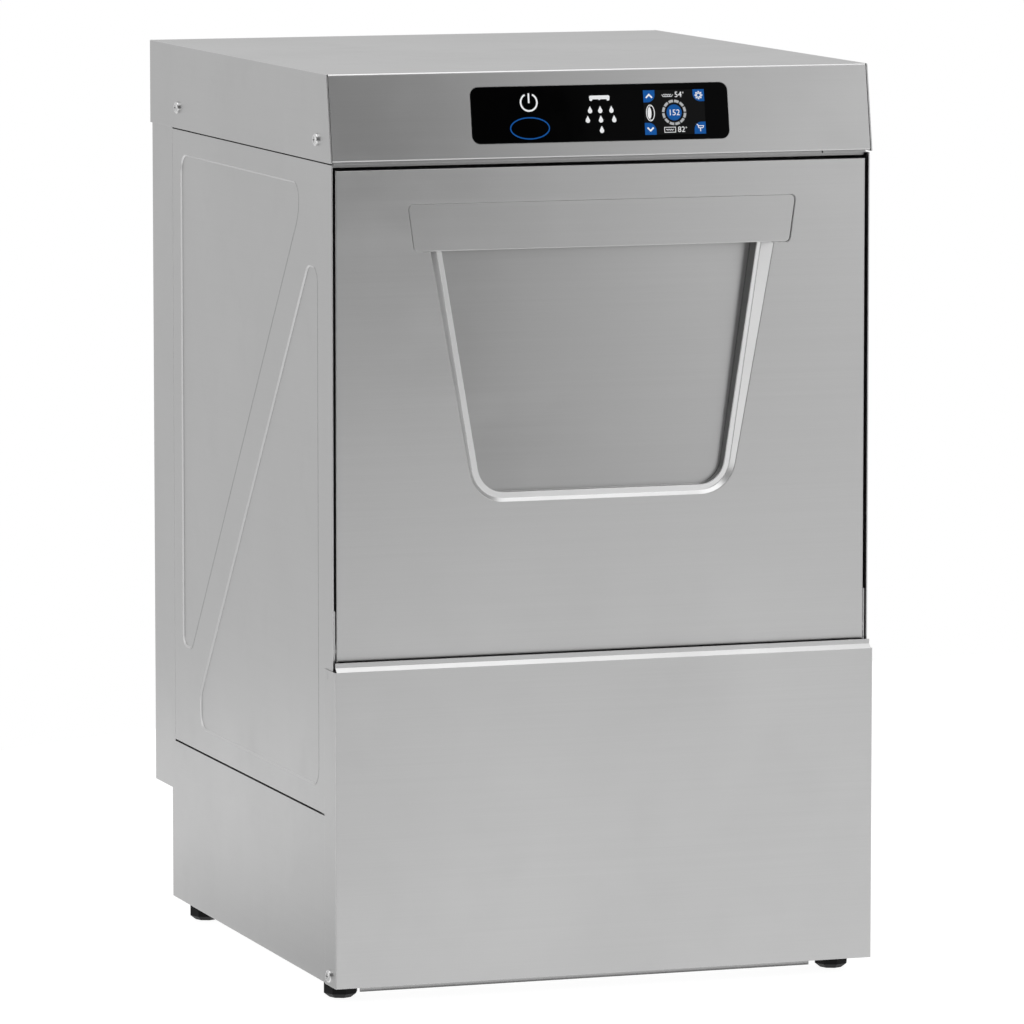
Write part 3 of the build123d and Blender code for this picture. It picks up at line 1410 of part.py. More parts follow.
def make_door_skin():
    """Outer door sheet with side returns, the grip pocket and the seat for the handle plate."""
    back = DOOR_BACK - SHEET
    edge_radius = 0.9
    seat_depth = DOOR_FACE + HANDLE_THICK
    seat_margin = 0.45
    seat_border = 2.5
    eye_slot_half = 1.9
    with BuildPart() as skin:
        block((-DOOR_HALF, DOOR_HALF), (DOOR_FACE, back), (DOOR_BOTTOM, DOOR_TOP))
        fillet(skin.edges().group_by(Axis.Y)[0], edge_radius)
        block(
            (-DOOR_HALF + SHEET, DOOR_HALF - SHEET),
            (DOOR_FACE + SHEET, back + 1),
            (DOOR_BOTTOM + SHEET, DOOR_TOP - SHEET),
            Mode.SUBTRACT,
        )
        with BuildSketch(Plane.XZ.offset(-seat_depth - SHEET)) as seat_back:
            with BuildLine():
                handle_outline(seat_border)
            make_face()
        extrude(seat_back.sketch, amount=SHEET + 0.1)
        pocket_body(SHEET, Mode.ADD)
        with BuildSketch(Plane.XZ.offset(-seat_depth)) as seat:
            with BuildLine():
                handle_outline(seat_margin)
            make_face()
        extrude(seat.sketch, amount=5, mode=Mode.SUBTRACT)
        pocket_body(0, Mode.SUBTRACT)
        for side in (-1, 1):
            pin_start = (side * (DOOR_HALF - 3), PIVOT_Y, PIVOT_Z)
            rod(pin_start, side * 6, PIVOT_RADIUS + RUNNING_FIT, "X", Mode.SUBTRACT)
            block(
                paired(ARM_X - eye_slot_half, ARM_X + eye_slot_half, side),
                (LEVER_Y - LEVER_EYE - GAP, LEVER_Y + LEVER_EYE + GAP),
                (DOOR_BOTTOM - 1, DOOR_BOTTOM + 1.5),
                Mode.SUBTRACT,
            )
    save(skin, "door_skin")


def handle_outline(grow):
    """Trapezoid of the handle plate, grown by a margin."""
    return pocket_outline(
        (
            (HANDLE_BOTTOM - grow, HANDLE_HALF_BOTTOM + grow),
            (HANDLE_TOP + grow, HANDLE_HALF_TOP + grow),
        ),
        3.5 + grow,
        3.5 + grow,
    )


def make_handle_plate():
    """Flush grip plate over the top of the pocket, with a rolled lower edge."""
    hem = (-128.0, 128.0)
    hem_back = DOOR_FACE + 5
    hem_height = 8.0
    face_radius = 0.35
    with BuildPart() as handle:
        with BuildSketch(Plane.XZ.offset(-DOOR_FACE)) as plate:
            with BuildLine():
                handle_outline(0)
            make_face()
        extrude(plate.sketch, amount=-HANDLE_THICK)
        fillet(handle.edges().group_by(Axis.Y)[0], face_radius)
        low_edge = (HANDLE_BOTTOM, HANDLE_BOTTOM + HANDLE_THICK)
        block(hem, (DOOR_FACE + HANDLE_THICK, hem_back), low_edge)
        block(hem, (hem_back - SHEET, hem_back), (HANDLE_BOTTOM, HANDLE_BOTTOM + hem_height))
    save(handle, "handle_plate")


def make_door_liner():
    """Inner door pan that closes the back of the door, with a pressed field."""
    inner = DOOR_HALF - SHEET - GAP
    low = DOOR_BOTTOM + SHEET + GAP
    high = DOOR_TOP - SHEET - GAP
    returns = (DOOR_BACK - 12, DOOR_BACK - SHEET)
    field_z = 445.0
    field_depth = 6.0
    with BuildPart() as liner:
        block((-DOOR_HALF, DOOR_HALF), (DOOR_BACK - SHEET, DOOR_BACK), (DOOR_BOTTOM, DOOR_TOP))
        for side in (-1, 1):
            block(paired(inner - SHEET, inner, side), returns, (low, high))
        block((-inner, inner), returns, (high - SHEET, high))
        for offset, mode in ((SHEET, Mode.ADD), (0, Mode.SUBTRACT)):
            with BuildSketch(Plane.XZ.offset(-DOOR_BACK + offset)) as pressed:
                with Locations((0, field_z)):
                    RectangleRounded(310, 270, 24)
            extrude(pressed.sketch, amount=field_depth, taper=45, mode=mode)
    save(liner, "door_liner")


def make_door_magnet():
    """Magnet behind the top of the inner pan, for the door switch."""
    back = DOOR_BACK - SHEET
    thick = 5.0
    with BuildPart() as magnet:
        block((140, 164), (back - thick, back), (600, 610))
    save(magnet, "door_magnet")


make_base_tray()
for foot_name, foot_x, foot_y in (
    ("foot_front_left", -FOOT_X, FOOT_FRONT_Y),
    ("foot_front_right", FOOT_X, FOOT_FRONT_Y),
    ("foot_rear_left", -FOOT_X, FOOT_REAR_Y),
    ("foot_rear_right", FOOT_X, FOOT_REAR_Y),
):
    make_foot(foot_name, foot_x, foot_y)
make_body_side("body_side_left", -1)
make_body_side("body_side_right", 1)
make_side_panel("side_panel_left", -1)
make_side_panel("side_panel_right", 1)
make_top_hood()
make_panel_screws()
make_header_rail()
make_lower_front_panel()
make_back_panel()
make_back_screws()
make_lower_back_panel()
make_control_glass()
make_control_frame()
make_display_module()
make_control_board()
make_wash_chamber()
make_door_gasket()
make_sump_tank()
make_tank_filter()
make_filter_basket()
make_standpipe()
make_tank_heater()
make_arm_column()
make_upper_manifold()
make_wash_arm("lower_wash_arm", LOWER_WASH_Z, True)
make_rinse_arm("lower_rinse_arm", LOWER_RINSE_Z, True)
make_wash_arm("upper_wash_arm", UPPER_WASH_Z, False)
make_rinse_arm("upper_rinse_arm", UPPER_RINSE_Z, False)
make_rack_rails()
make_pump_volute()
make_pump_motor()
make_pump_impeller()
make_wash_pipe()
make_suction_hose()
make_rinse_pipe()
make_fill_hose()
make_boiler()
make_boiler_heater()
make_drain_pump()
make_drain_connector()
make_cable_gland()
make_inlet_valve()
make_control_box()
make_dosing_pumps()
make_hinge_posts()
make_hinge_pins()
make_hinge_arms()
for gear_name, gear_side in (("left", -1), ("right", 1)):
    make_spring_rod("spring_rod_" + gear_name, gear_side)
    make_door_spring("door_spring_" + gear_name, gear_side)
make_door_skin()
make_handle_plate()
make_door_liner()
make_door_magnet()
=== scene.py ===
import json
import math

import bmesh
import bpy
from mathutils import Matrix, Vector


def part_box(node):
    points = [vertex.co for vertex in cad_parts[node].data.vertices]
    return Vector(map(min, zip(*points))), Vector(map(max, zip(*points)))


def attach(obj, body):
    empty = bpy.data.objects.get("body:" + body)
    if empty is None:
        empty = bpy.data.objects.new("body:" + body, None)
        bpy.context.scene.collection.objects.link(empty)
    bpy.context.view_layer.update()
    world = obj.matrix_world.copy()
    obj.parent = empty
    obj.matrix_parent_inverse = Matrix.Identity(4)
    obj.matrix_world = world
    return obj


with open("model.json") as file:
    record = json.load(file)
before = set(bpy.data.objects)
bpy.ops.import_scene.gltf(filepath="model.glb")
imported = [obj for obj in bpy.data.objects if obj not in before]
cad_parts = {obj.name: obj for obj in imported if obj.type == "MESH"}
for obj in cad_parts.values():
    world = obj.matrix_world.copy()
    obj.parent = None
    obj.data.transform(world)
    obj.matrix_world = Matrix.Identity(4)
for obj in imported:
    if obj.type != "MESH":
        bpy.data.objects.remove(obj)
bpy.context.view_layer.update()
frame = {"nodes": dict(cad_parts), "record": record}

MM = 0.001

# Camera: the photograph's direction, distance and long lens
CAMERA_AZIMUTH = -18.692
CAMERA_ELEVATION = 6.845
CAMERA_PLACE = (-1.8515, -5.4941, 1.0271)
CAMERA_LENS = 267.0
CAMERA_SENSOR = 36.0
CAMERA_REACH = 60.0

# Studio, in metres: how bright the surroundings are in front and behind, and what lies on the floor
FRONT_GLOW = 0.16
BACK_GLOW = 0.73
GLOW_FADE = (-0.75, 0.45)  # the surroundings change from one to the other between these
FLOOR_MIDDLE = (1.0, -0.9)
FLOOR_REACH = 2.25
FLOOR_SIDES = 96
FLOOR_GLOW = 0.93
FLOOR_TONES = (0.2, 0.22)
FLOOR_CARD = (-0.75, -0.222, -0.5, 1.3)  # low x, high x, low y, high y
CARD_GLOW = (0.38, 0.68)  # at its front and at its back
CARD_FADE = (-0.1, 0.6)
CARD_LIFT = 1 * MM
CARD_TONES = (0.3, 0.34)
LIGHTS = (  # name, place, target, width, height, how bright it looks
    ("front_right_box", (1.42, -1.7, 1.25), (0.9, 0.0, 0.9), 1.7, 1.9, 0.96),
    ("top_box", (0.0, -0.4, 2.6), (0.0, 0.0, 0.3), 2.4, 2.4, 1.2),
    ("left_strip", (-2.0, -0.85, 0.45), (0.0, -0.2, 0.4), 0.9, 1.6, 0.85),
    ("right_strip", (2.1, 0.5, 0.45), (0.0, -0.2, 0.4), 0.9, 1.6, 1.2),
    ("left_box", (-2.6, 0.6, 1.3), (0.0, 0.0, 0.4), 1.8, 1.8, 0.5),
    ("low_strip", (0.5, -1.9, 0.08), (0.3, 0.0, 0.1), 1.3, 0.3, 0.28),
)

# Materials: rounded edges
EDGE_SAMPLES = 4
SHEET_EDGE = 0.5 * MM
TURNED_EDGE = 0.15 * MM
MOULDED_EDGE = 0.35 * MM
GLASS_EDGE = 0.25 * MM
PAINTED_EDGE = 0.4 * MM
EDGE_TURN = 0.86  # how well a rounded normal still agrees with a flat one at a full edge

# Materials: noise scales, per metre, and the middle of the range of any noise
MIDDLE = (0.3, 0.7)
MACHINING = 2600.0
DULLING = 90.0
MOTTLE = 55.0
DUST = 18.0
SMEARS = 42.0
WAVES = 16.0
RASTER = 3800.0
ORANGE_PEEL = 420.0
STAINS = 24.0
TRACKS = 260.0
LACQUER = 900.0

# Materials: brushed sheet
LEVEL_GROUND = 0.7  # sheet whose normal rises more than this is level, and is ground lengthways
GRAIN_LONG = 9.0
GRAIN_CROSS = 1500.0
BROAD_GRAIN = 0.22
FINE_SHARE = 0.65
GRAIN_TONES = (0.93, 1.05)
GRAIN_RELIEF = 0.1
GRAIN_DEPTH = 0.02 * MM
CLOUD_SCALE = 7.0
CLOUD_SHARE = 0.12
CLOUD_TONE = 0.8
CLOUD_ROUGH = (-0.02, 0.03)
SMUDGE_SCALE = 31.0
PRESSED_TURN = (0.95, 0.8)  # slopes between these, from flat to fully pressed, are painted lighter as a highlight
SLOPE_HIGHLIGHT_TONE = 0.9
# Edges: worn lighter and smoother; the lighter colour is also a painted highlight on the bends
WORN_AND_HIGHLIGHT_TONE = 0.86
WORN_SMOOTH = 0.06
# Painted shade: the tone that the ground beside creases is darkened towards
CREASE_SHADE_TONE = 0.01
FACING_FRONT = 0.9
# Painted highlight on the door's pressed bead around the grip pocket
BEAD_HIGHLIGHT_TONE = 0.92
BEAD_HIGHLIGHT_SHARE = 0.8
BEAD_DEPTH = (2.3 * MM, 7.9 * MM)  # how far behind the door's face its pressed bead lies
# Painted shade beside creases: its widths, strength, turn and limit
CREASE_WIDTH = 3.0 * MM
BEAD_CREASE = 1.6 * MM
CREASE_SHADE_STRENGTH = 0.95
CREASE_TURN = (0.1, 0.22)  # how far a rounded edge turns before its painted crease shade starts, and is full
CREASE_MARGIN = 12 * MM  # the rear edge of an insert panel gets no painted shade

# Printing on the glass, in millimetres right and up from its middle
INK_THICKNESS = 0.05
INK_STEP = 1.4 * INK_THICKNESS  # from one layer of ink to the next
GLASS_THICKNESS = 1.6
GLASS_LEAN = math.atan2(11.3, 63.8)
SCREEN = (33.9, 81.6, -17.1, 15.9)  # left, right, bottom, top
DIAL_X = 57.4
DIAL_Z = -0.9
BUTTON = 8.9
BUTTON_ROUND = 0.65  # share of a button taken up by its round corner
MITRE = 0.35  # the sharpest mitre a line may have
FIGURE_STEPS = 3

# Threads and barbs, in millimetres
TURN_STEPS = 64
RIDGE_ROOT = 0.4
CREST_PLACE = 0.6  # where a crest stands in its pitch
FITTINGS = (  # piece, node, axis above the bottom, radius, ends, ridges, height
    ("inlet_thread", "inlet_valve", 16.5, 13.2, (18.0, 1.2), 9, 0.55),
    ("drain_barbs", "drain_connector", 18.0, 11.0, (20.0, 1.0), 4, 0.9),
    ("gland_grip", "cable_gland", 17.32, 14.5, (14.0, 4.5), 12, 0.35),
)

scene = bpy.context.scene


def corners(node):
    """A CAD node's lowest and highest corners, in millimetres."""
    low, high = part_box(node)
    return low / MM, high / MM


# ---------------------------------------------------------------- node helper


class Look:
    """A node material while it is being wired up."""

    def __init__(self, name):
        self.material = bpy.data.materials.new(name)
        self.material.use_nodes = True
        self.tree = self.material.node_tree
        self.tree.nodes.clear()
        self.out = self.tree.nodes.new("ShaderNodeOutputMaterial")

    def put(self, kind, inputs=(), **settings):
        """Adds a node. Each input takes a value, or a socket to link from."""
        node = self.tree.nodes.new("ShaderNode" + kind)
        for name, value in settings.items():
            setattr(node, name, value)
        for key, value in dict(inputs).items():
            if isinstance(value, bpy.types.NodeSocket):
                self.tree.links.new(value, node.inputs[key])
            else:
                node.inputs[key].default_value = value
        return node

    def calc(self, operation, a, b=0.0):
        return self.put("Math", {0: a, 1: b}, operation=operation).outputs[0]

    def scaled(self, value, factor):
        return self.calc("MULTIPLY", value, factor)

    def dot(self, vector, other):
        node = self.put("VectorMath", {0: vector, 1: other}, operation="DOT_PRODUCT")
        return node.outputs["Value"]

    def axes(self, vector):
        return self.put("SeparateXYZ", {0: vector}).outputs

    def place(self):
        """The point on the piece, in metres, and its own normal."""
        node = self.put("TexCoord")
        return node.outputs["Object"], node.outputs["Normal"]

    def noise(self, vector, scale, detail=2.0, rough=0.5):
        inputs = {"Vector": vector, "Scale": scale, "Detail": detail, "Roughness": rough}
        return self.put("TexNoise", inputs).outputs["Fac"]

    def spread(self, value, low, high, to_low, to_high):
        """A value between two limits, stretched to lie between two others."""
        node = self.put("MapRange", {0: value, 1: low, 2: high, 3: to_low, 4: to_high})
        return node.outputs[0]

    def mask(self, value, low, high):
        return self.spread(value, low, high, 0.0, 1.0)

    def blend(self, factor, a, b):
        node = self.put("Mix", {0: factor, 6: a, 7: b}, data_type="RGBA")
        return node.outputs[2]

    def edge(self, radius):
        """1 on the outer edges, 0 on flat ground, from the normal of a rounded copy."""
        rounded = self.put("Bevel", {"Radius": radius}, samples=EDGE_SAMPLES).outputs[0]
        flat = self.put("NewGeometry").outputs["Normal"]
        return rounded, self.mask(self.dot(rounded, flat), 1.0, EDGE_TURN)

    def crease(self, point, normal, way, width, along, limit):
        """1 on the ground beside edges that turn one way, up to a limit along a direction: where shade
        is painted.
        """
        rounded = self.put("Bevel", {"Radius": width}, samples=EDGE_SAMPLES).outputs[0]
        turned = self.mask(self.dot(rounded, way), *CREASE_TURN)
        level = self.calc("LESS_THAN", self.calc("ABSOLUTE", self.dot(normal, way)), CREASE_TURN[0])
        within = self.calc("LESS_THAN", self.dot(point, along), limit)
        return self.scaled(turned, self.scaled(level, within))

    def bump(self, height, strength, depth, normal=None):
        inputs = {"Height": height, "Strength": strength, "Distance": depth}
        if normal:
            inputs["Normal"] = normal
        return self.put("Bump", inputs).outputs["Normal"]

    def finish(self, inputs):
        shader = self.put("BsdfPrincipled", inputs)
        self.tree.links.new(shader.outputs[0], self.out.inputs["Surface"])
        return self.material


def grey(value):
    return (value, value, value, 1.0)


def shade(colour, factor=1.0, lift=0.0):
    """A colour made darker or lighter, with its alpha."""
    return tuple(min(1.0, c * factor + lift) for c in colour) + (1.0,)


# ------------------------------------------------------------------ materials


def brushed(
    name, tone, rough, grain, wear_and_highlight=0.5, smear=0.035, slope_highlight=0.4, bead=None, crease=None
):
    """Satin stainless sheet: grain along the sheet, faint clouding and brighter edges, which are worn
    and are also a painted highlight.

    Pressed slopes are painted lighter as a highlight. A bead between two depths can be painted bright as
    a highlight too.
    The ground beside edges that turn a given way can be darkened as painted shade, up to a limit along a
    direction.
    """
    look = Look(name)
    point, normal = look.place()
    parts = look.axes(normal)
    across = [look.calc("ABSOLUTE", parts[axis]) for axis in ("X", "Y", "Z")]
    level = look.calc("GREATER_THAN", across[2], LEVEL_GROUND)
    along = look.spread(level, 0.0, 1.0, GRAIN_LONG, GRAIN_CROSS)
    stretch = look.put("CombineXYZ", {0: GRAIN_LONG, 1: along, 2: GRAIN_CROSS}).outputs[0]
    drawn = look.put("VectorMath", {0: point, 1: stretch}, operation="MULTIPLY").outputs[0]
    fine = look.noise(drawn, 1.0, 3.0, 0.6)
    broad = look.noise(drawn, BROAD_GRAIN, 2.0, 0.5)
    cloud = look.noise(point, CLOUD_SCALE, 3.0, 0.55)
    smudge = look.mask(look.noise(point, SMUDGE_SCALE, 4.0, 0.6), 0.5, 0.75)
    rounded, edge = look.edge(SHEET_EDGE)
    mixed = look.calc("ADD", look.scaled(fine, FINE_SHARE), look.scaled(broad, 1.0 - FINE_SHARE))
    colour = look.blend(mixed, grey(tone * GRAIN_TONES[0]), grey(tone * GRAIN_TONES[1]))
    colour = look.blend(look.scaled(cloud, CLOUD_SHARE), colour, grey(tone * CLOUD_TONE))
    # Painted highlight: pressed slopes are made lighter.
    flattest = look.calc("MAXIMUM", look.calc("MAXIMUM", across[0], across[1]), across[2])
    pressed = look.mask(flattest, *PRESSED_TURN)
    colour = look.blend(look.scaled(pressed, slope_highlight), colour, grey(SLOPE_HIGHLIGHT_TONE))
    # Painted highlight: the part of the bead facing front is made brighter.
    if bead:
        depth = look.axes(point)["Y"]
        behind = look.calc("GREATER_THAN", depth, bead[0])
        before = look.calc("LESS_THAN", depth, bead[1])
        facing = look.calc("GREATER_THAN", across[1], FACING_FRONT)
        on_bead = look.scaled(look.scaled(behind, before), facing)
        colour = look.blend(look.scaled(on_bead, BEAD_HIGHLIGHT_SHARE), colour, grey(BEAD_HIGHLIGHT_TONE))
    # Edges made lighter: real wear, and a painted highlight.
    colour = look.blend(look.scaled(edge, wear_and_highlight), colour, grey(WORN_AND_HIGHLIGHT_TONE))
    # Painted shade: the ground beside edges that turn one way is darkened.
    if crease:
        crease_shade = look.scaled(look.crease(point, normal, *crease), CREASE_SHADE_STRENGTH)
        colour = look.blend(crease_shade, colour, grey(CREASE_SHADE_TONE))
    roughness = look.calc(
        "ADD",
        look.spread(mixed, 0.25, 0.75, rough - grain, rough + grain),
        look.spread(cloud, *MIDDLE, *CLOUD_ROUGH),
    )
    roughness = look.calc("ADD", roughness, look.scaled(smudge, smear))
    roughness = look.calc("SUBTRACT", roughness, look.scaled(edge, WORN_SMOOTH))
    relief = look.bump(mixed, GRAIN_RELIEF, GRAIN_DEPTH, rounded)
    return look.finish({
        "Base Color": colour, "Metallic": 1.0, "Roughness": roughness, "Normal": relief,
    })


def bright(name, tone, rough):
    """Turned and drawn bright stainless, with light machining marks."""
    look = Look(name)
    point, _ = look.place()
    marks = look.noise(point, MACHINING, 2.0, 0.6)
    cloud = look.noise(point, DULLING, 2.0, 0.5)
    rounded, edge = look.edge(TURNED_EDGE)
    colour = look.blend(cloud, grey(tone * 0.86), grey(tone))
    colour = look.blend(look.scaled(edge, 0.6), colour, grey(0.92))
    roughness = look.calc(
        "ADD",
        look.spread(marks, *MIDDLE, rough - 0.05, rough + 0.07),
        look.spread(cloud, *MIDDLE, -0.02, 0.04),
    )
    return look.finish({
        "Base Color": colour, "Metallic": 1.0, "Roughness": roughness,
        "Normal": look.bump(marks, 0.08, 0.02 * MM, rounded),
    })


def moulded(name, colour, rough, grain=1400.0, relief=0.25, depth=0.03 * MM, pale=1.25, gloss=0.45):
    """Moulded plastic or rubber: fine spark-eroded grain, slight mottling, paler rubbed edges."""
    look = Look(name)
    point, _ = look.place()
    fine = look.noise(point, grain, 3.0, 0.6)
    mottle = look.noise(point, MOTTLE, 3.0, 0.55)
    dust = look.mask(look.noise(point, DUST, 4.0, 0.65), 0.48, 0.72)
    rounded, edge = look.edge(MOULDED_EDGE)
    light = shade(colour, pale, lift=0.01)
    base = look.blend(mottle, shade(colour, 0.82), shade(colour))
    base = look.blend(look.scaled(dust, 0.10), base, light)
    base = look.blend(look.scaled(edge, 0.5), base, light)
    grained = look.spread(fine, *MIDDLE, rough - 0.06, rough + 0.08)
    roughness = look.calc("ADD", grained, look.scaled(dust, 0.06))
    return look.finish({
        "Base Color": base, "Roughness": roughness, "Specular IOR Level": gloss,
        "Normal": look.bump(fine, relief, depth, rounded),
    })


def glass_face(name):
    """Back-printed black control glass: deep black, a little smudged, polished edge."""
    look = Look(name)
    point, _ = look.place()
    smear = look.mask(look.noise(point, SMEARS, 4.0, 0.6), 0.42, 0.7)
    wave = look.noise(point, WAVES, 1.0, 0.4)
    rounded, edge = look.edge(GLASS_EDGE)
    black, polished = (0.0008, 0.0008, 0.0009, 1.0), (0.03, 0.032, 0.035, 1.0)
    colour = look.blend(look.scaled(edge, 0.5), black, polished)
    roughness = look.spread(smear, 0.0, 1.0, 0.045, 0.12)
    return look.finish({
        "Base Color": colour, "Roughness": roughness, "Specular IOR Level": 0.03,
        "Normal": look.bump(wave, 0.02, 0.05 * MM, rounded),
    })


def printed(name, colour, glow=0.0):
    """Screen-printed ink, or a lit part of the display, with the raster of its dots."""
    look = Look(name)
    point, _ = look.place()
    raster = look.noise(point, RASTER, 1.0, 0.5)
    base = look.blend(look.mask(raster, 0.35, 0.65), shade(colour, 0.86), shade(colour))
    return look.finish({
        "Base Color": base, "Roughness": look.spread(raster, *MIDDLE, 0.32, 0.45),
        "Specular IOR Level": 0.1, "Emission Color": base, "Emission Strength": glow,
    })


def painted(name, colour, rough):
    """Enamel over a casting: orange peel and chipped, paler edges."""
    look = Look(name)
    point, _ = look.place()
    peel = look.noise(point, ORANGE_PEEL, 2.0, 0.5)
    stain = look.noise(point, STAINS, 4.0, 0.6)
    rounded, edge = look.edge(PAINTED_EDGE)
    base = look.blend(stain, shade(colour, 0.75), shade(colour))
    base = look.blend(look.scaled(edge, 0.45), base, grey(0.4))
    return look.finish({
        "Base Color": base, "Roughness": look.spread(peel, *MIDDLE, rough - 0.05, rough + 0.08),
        "Coat Weight": 0.2, "Coat Roughness": 0.2, "Normal": look.bump(peel, 0.3, 0.05 * MM, rounded),
    })


def circuit(name):
    """Lacquered board with copper tracks just showing under the green."""
    look = Look(name)
    point, _ = look.place()
    tracks = look.put("TexBrick", {
        "Vector": point, "Scale": TRACKS, "Mortar Size": 0.035, "Color1": (0.012, 0.13, 0.05, 1.0),
        "Color2": (0.016, 0.16, 0.065, 1.0), "Mortar": (0.05, 0.27, 0.09, 1.0),
    })
    fine = look.noise(point, LACQUER, 2.0, 0.5)
    return look.finish({
        "Base Color": tracks.outputs["Color"], "Roughness": look.spread(fine, *MIDDLE, 0.28, 0.42),
        "Normal": look.bump(tracks.outputs["Fac"], 0.3, 0.03 * MM),
    })


LOOKS = {
    "brushed_sheet": brushed("satin_sheet", 0.52, 0.31, 0.02),
    "chamber_sheet": brushed("chamber_sheet", 0.72, 0.27, 0.03, smear=0.008),
    "bright_steel": bright("bright_steel", 0.78, 0.2),
    "control_black": glass_face("control_glass_black"),
    "display_black": moulded("display_black", (0.012, 0.012, 0.016), 0.3),
    "moulded_grey": moulded("moulded_grey", (0.2, 0.2, 0.21), 0.45),
    "board_green": circuit("board_green"),
    "black_plastic": moulded("black_plastic", (0.004, 0.004, 0.0044), 0.48, gloss=0.14),
    "seal_rubber": moulded(
        "seal_rubber", (0.016, 0.016, 0.017), 0.62, grain=700.0, relief=0.35, gloss=0.3
    ),
    "pipe_plastic": moulded("pipe_plastic", (0.66, 0.67, 0.69), 0.38, pale=1.1),
    "boiler_steel": brushed("boiler_steel", 0.6, 0.36, 0.05, wear_and_highlight=0.4),
    "motor_paint": painted("motor_paint", (0.11, 0.125, 0.15), 0.4),
    "box_plastic": moulded("box_plastic", (0.5, 0.51, 0.52), 0.45, pale=1.1),
    "magnet_black": moulded("magnet_black", (0.03, 0.03, 0.032), 0.4),
}


def door_sheet():
    """The door's sheet: the bead around the grip pocket painted bright as a highlight, its right edges
    darkened with painted shade.
    """
    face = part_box("door_skin")[0].y
    bead = (face + BEAD_DEPTH[0], face + BEAD_DEPTH[1])
    left = (-1.0, 0.0, 0.0)
    crease = (left, BEAD_CREASE, left, 0.0)
    return brushed("door_sheet", 0.52, 0.31, 0.02, slope_highlight=0.55, bead=bead, crease=crease)


def insert_sheet():
    """The insert panels' sheet, with painted shade in the front creases of the pressed fields."""
    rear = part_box("side_panel_left")[1].y
    back = (0.0, 1.0, 0.0)
    crease = (back, CREASE_WIDTH, back, rear - CREASE_MARGIN)
    return brushed("insert_sheet", 0.52, 0.31, 0.02, crease=crease)


def tray_sheet():
    """The base tray's sheet, duller, with painted shade beside its lower edges."""
    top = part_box("base_tray")[1].z
    crease = ((0.0, 0.0, -1.0), CREASE_WIDTH, (0.0, 0.0, 1.0), top)
    return brushed("tray_sheet", 0.42, 0.34, 0.02, wear_and_highlight=0.1, crease=crease)


INSERT_SHEET = insert_sheet()
OWN_LOOKS = {
    # A darker copy of the satin sheet, as painted shade: the rail lies in shade above the door.
    "header_rail": brushed("shaded_rail_sheet", 0.36, 0.36, 0.02),
    "door_skin": door_sheet(),
    "base_tray": tray_sheet(),
    "side_panel_left": INSERT_SHEET,
    "side_panel_right": INSERT_SHEET,
}


def dress_nodes():
    """Every CAD node takes the finish of its slot in the record, or its own."""
    for part in frame["record"]["subparts"]:
        mesh = frame["nodes"][part["node"]].data
        mesh.materials.clear()
        mesh.materials.append(OWN_LOOKS.get(part["node"]) or LOOKS[part["material_slot"]])


dress_nodes()

# ---------------------------------------------------- printing on the glass

ICON_WHITE = printed("icon_white", (0.86, 0.87, 0.88), glow=0.25)
ICON_BLUE = printed("icon_blue", (0.006, 0.105, 0.40), glow=0.1)
ICON_GREY = printed("icon_grey", (0.5, 0.51, 0.52), glow=0.15)
SCREEN_DARK = printed("screen_dark", (0.003, 0.003, 0.0033))


def glass_plane():
    """Middle of the glass's outer face, and its right, up and outward directions, in millimetres."""
    low, high = corners("control_glass")
    rise, run = math.cos(GLASS_LEAN), math.sin(GLASS_LEAN)
    height = (high.z - low.z - GLASS_THICKNESS * run) / rise
    bottom = Vector(((low.x + high.x) / 2, low.y, high.z - height * rise))
    up = Vector((0.0, run, rise))
    return bottom + up * height / 2, Vector((1.0, 0.0, 0.0)), up, Vector((0.0, -rise, run))


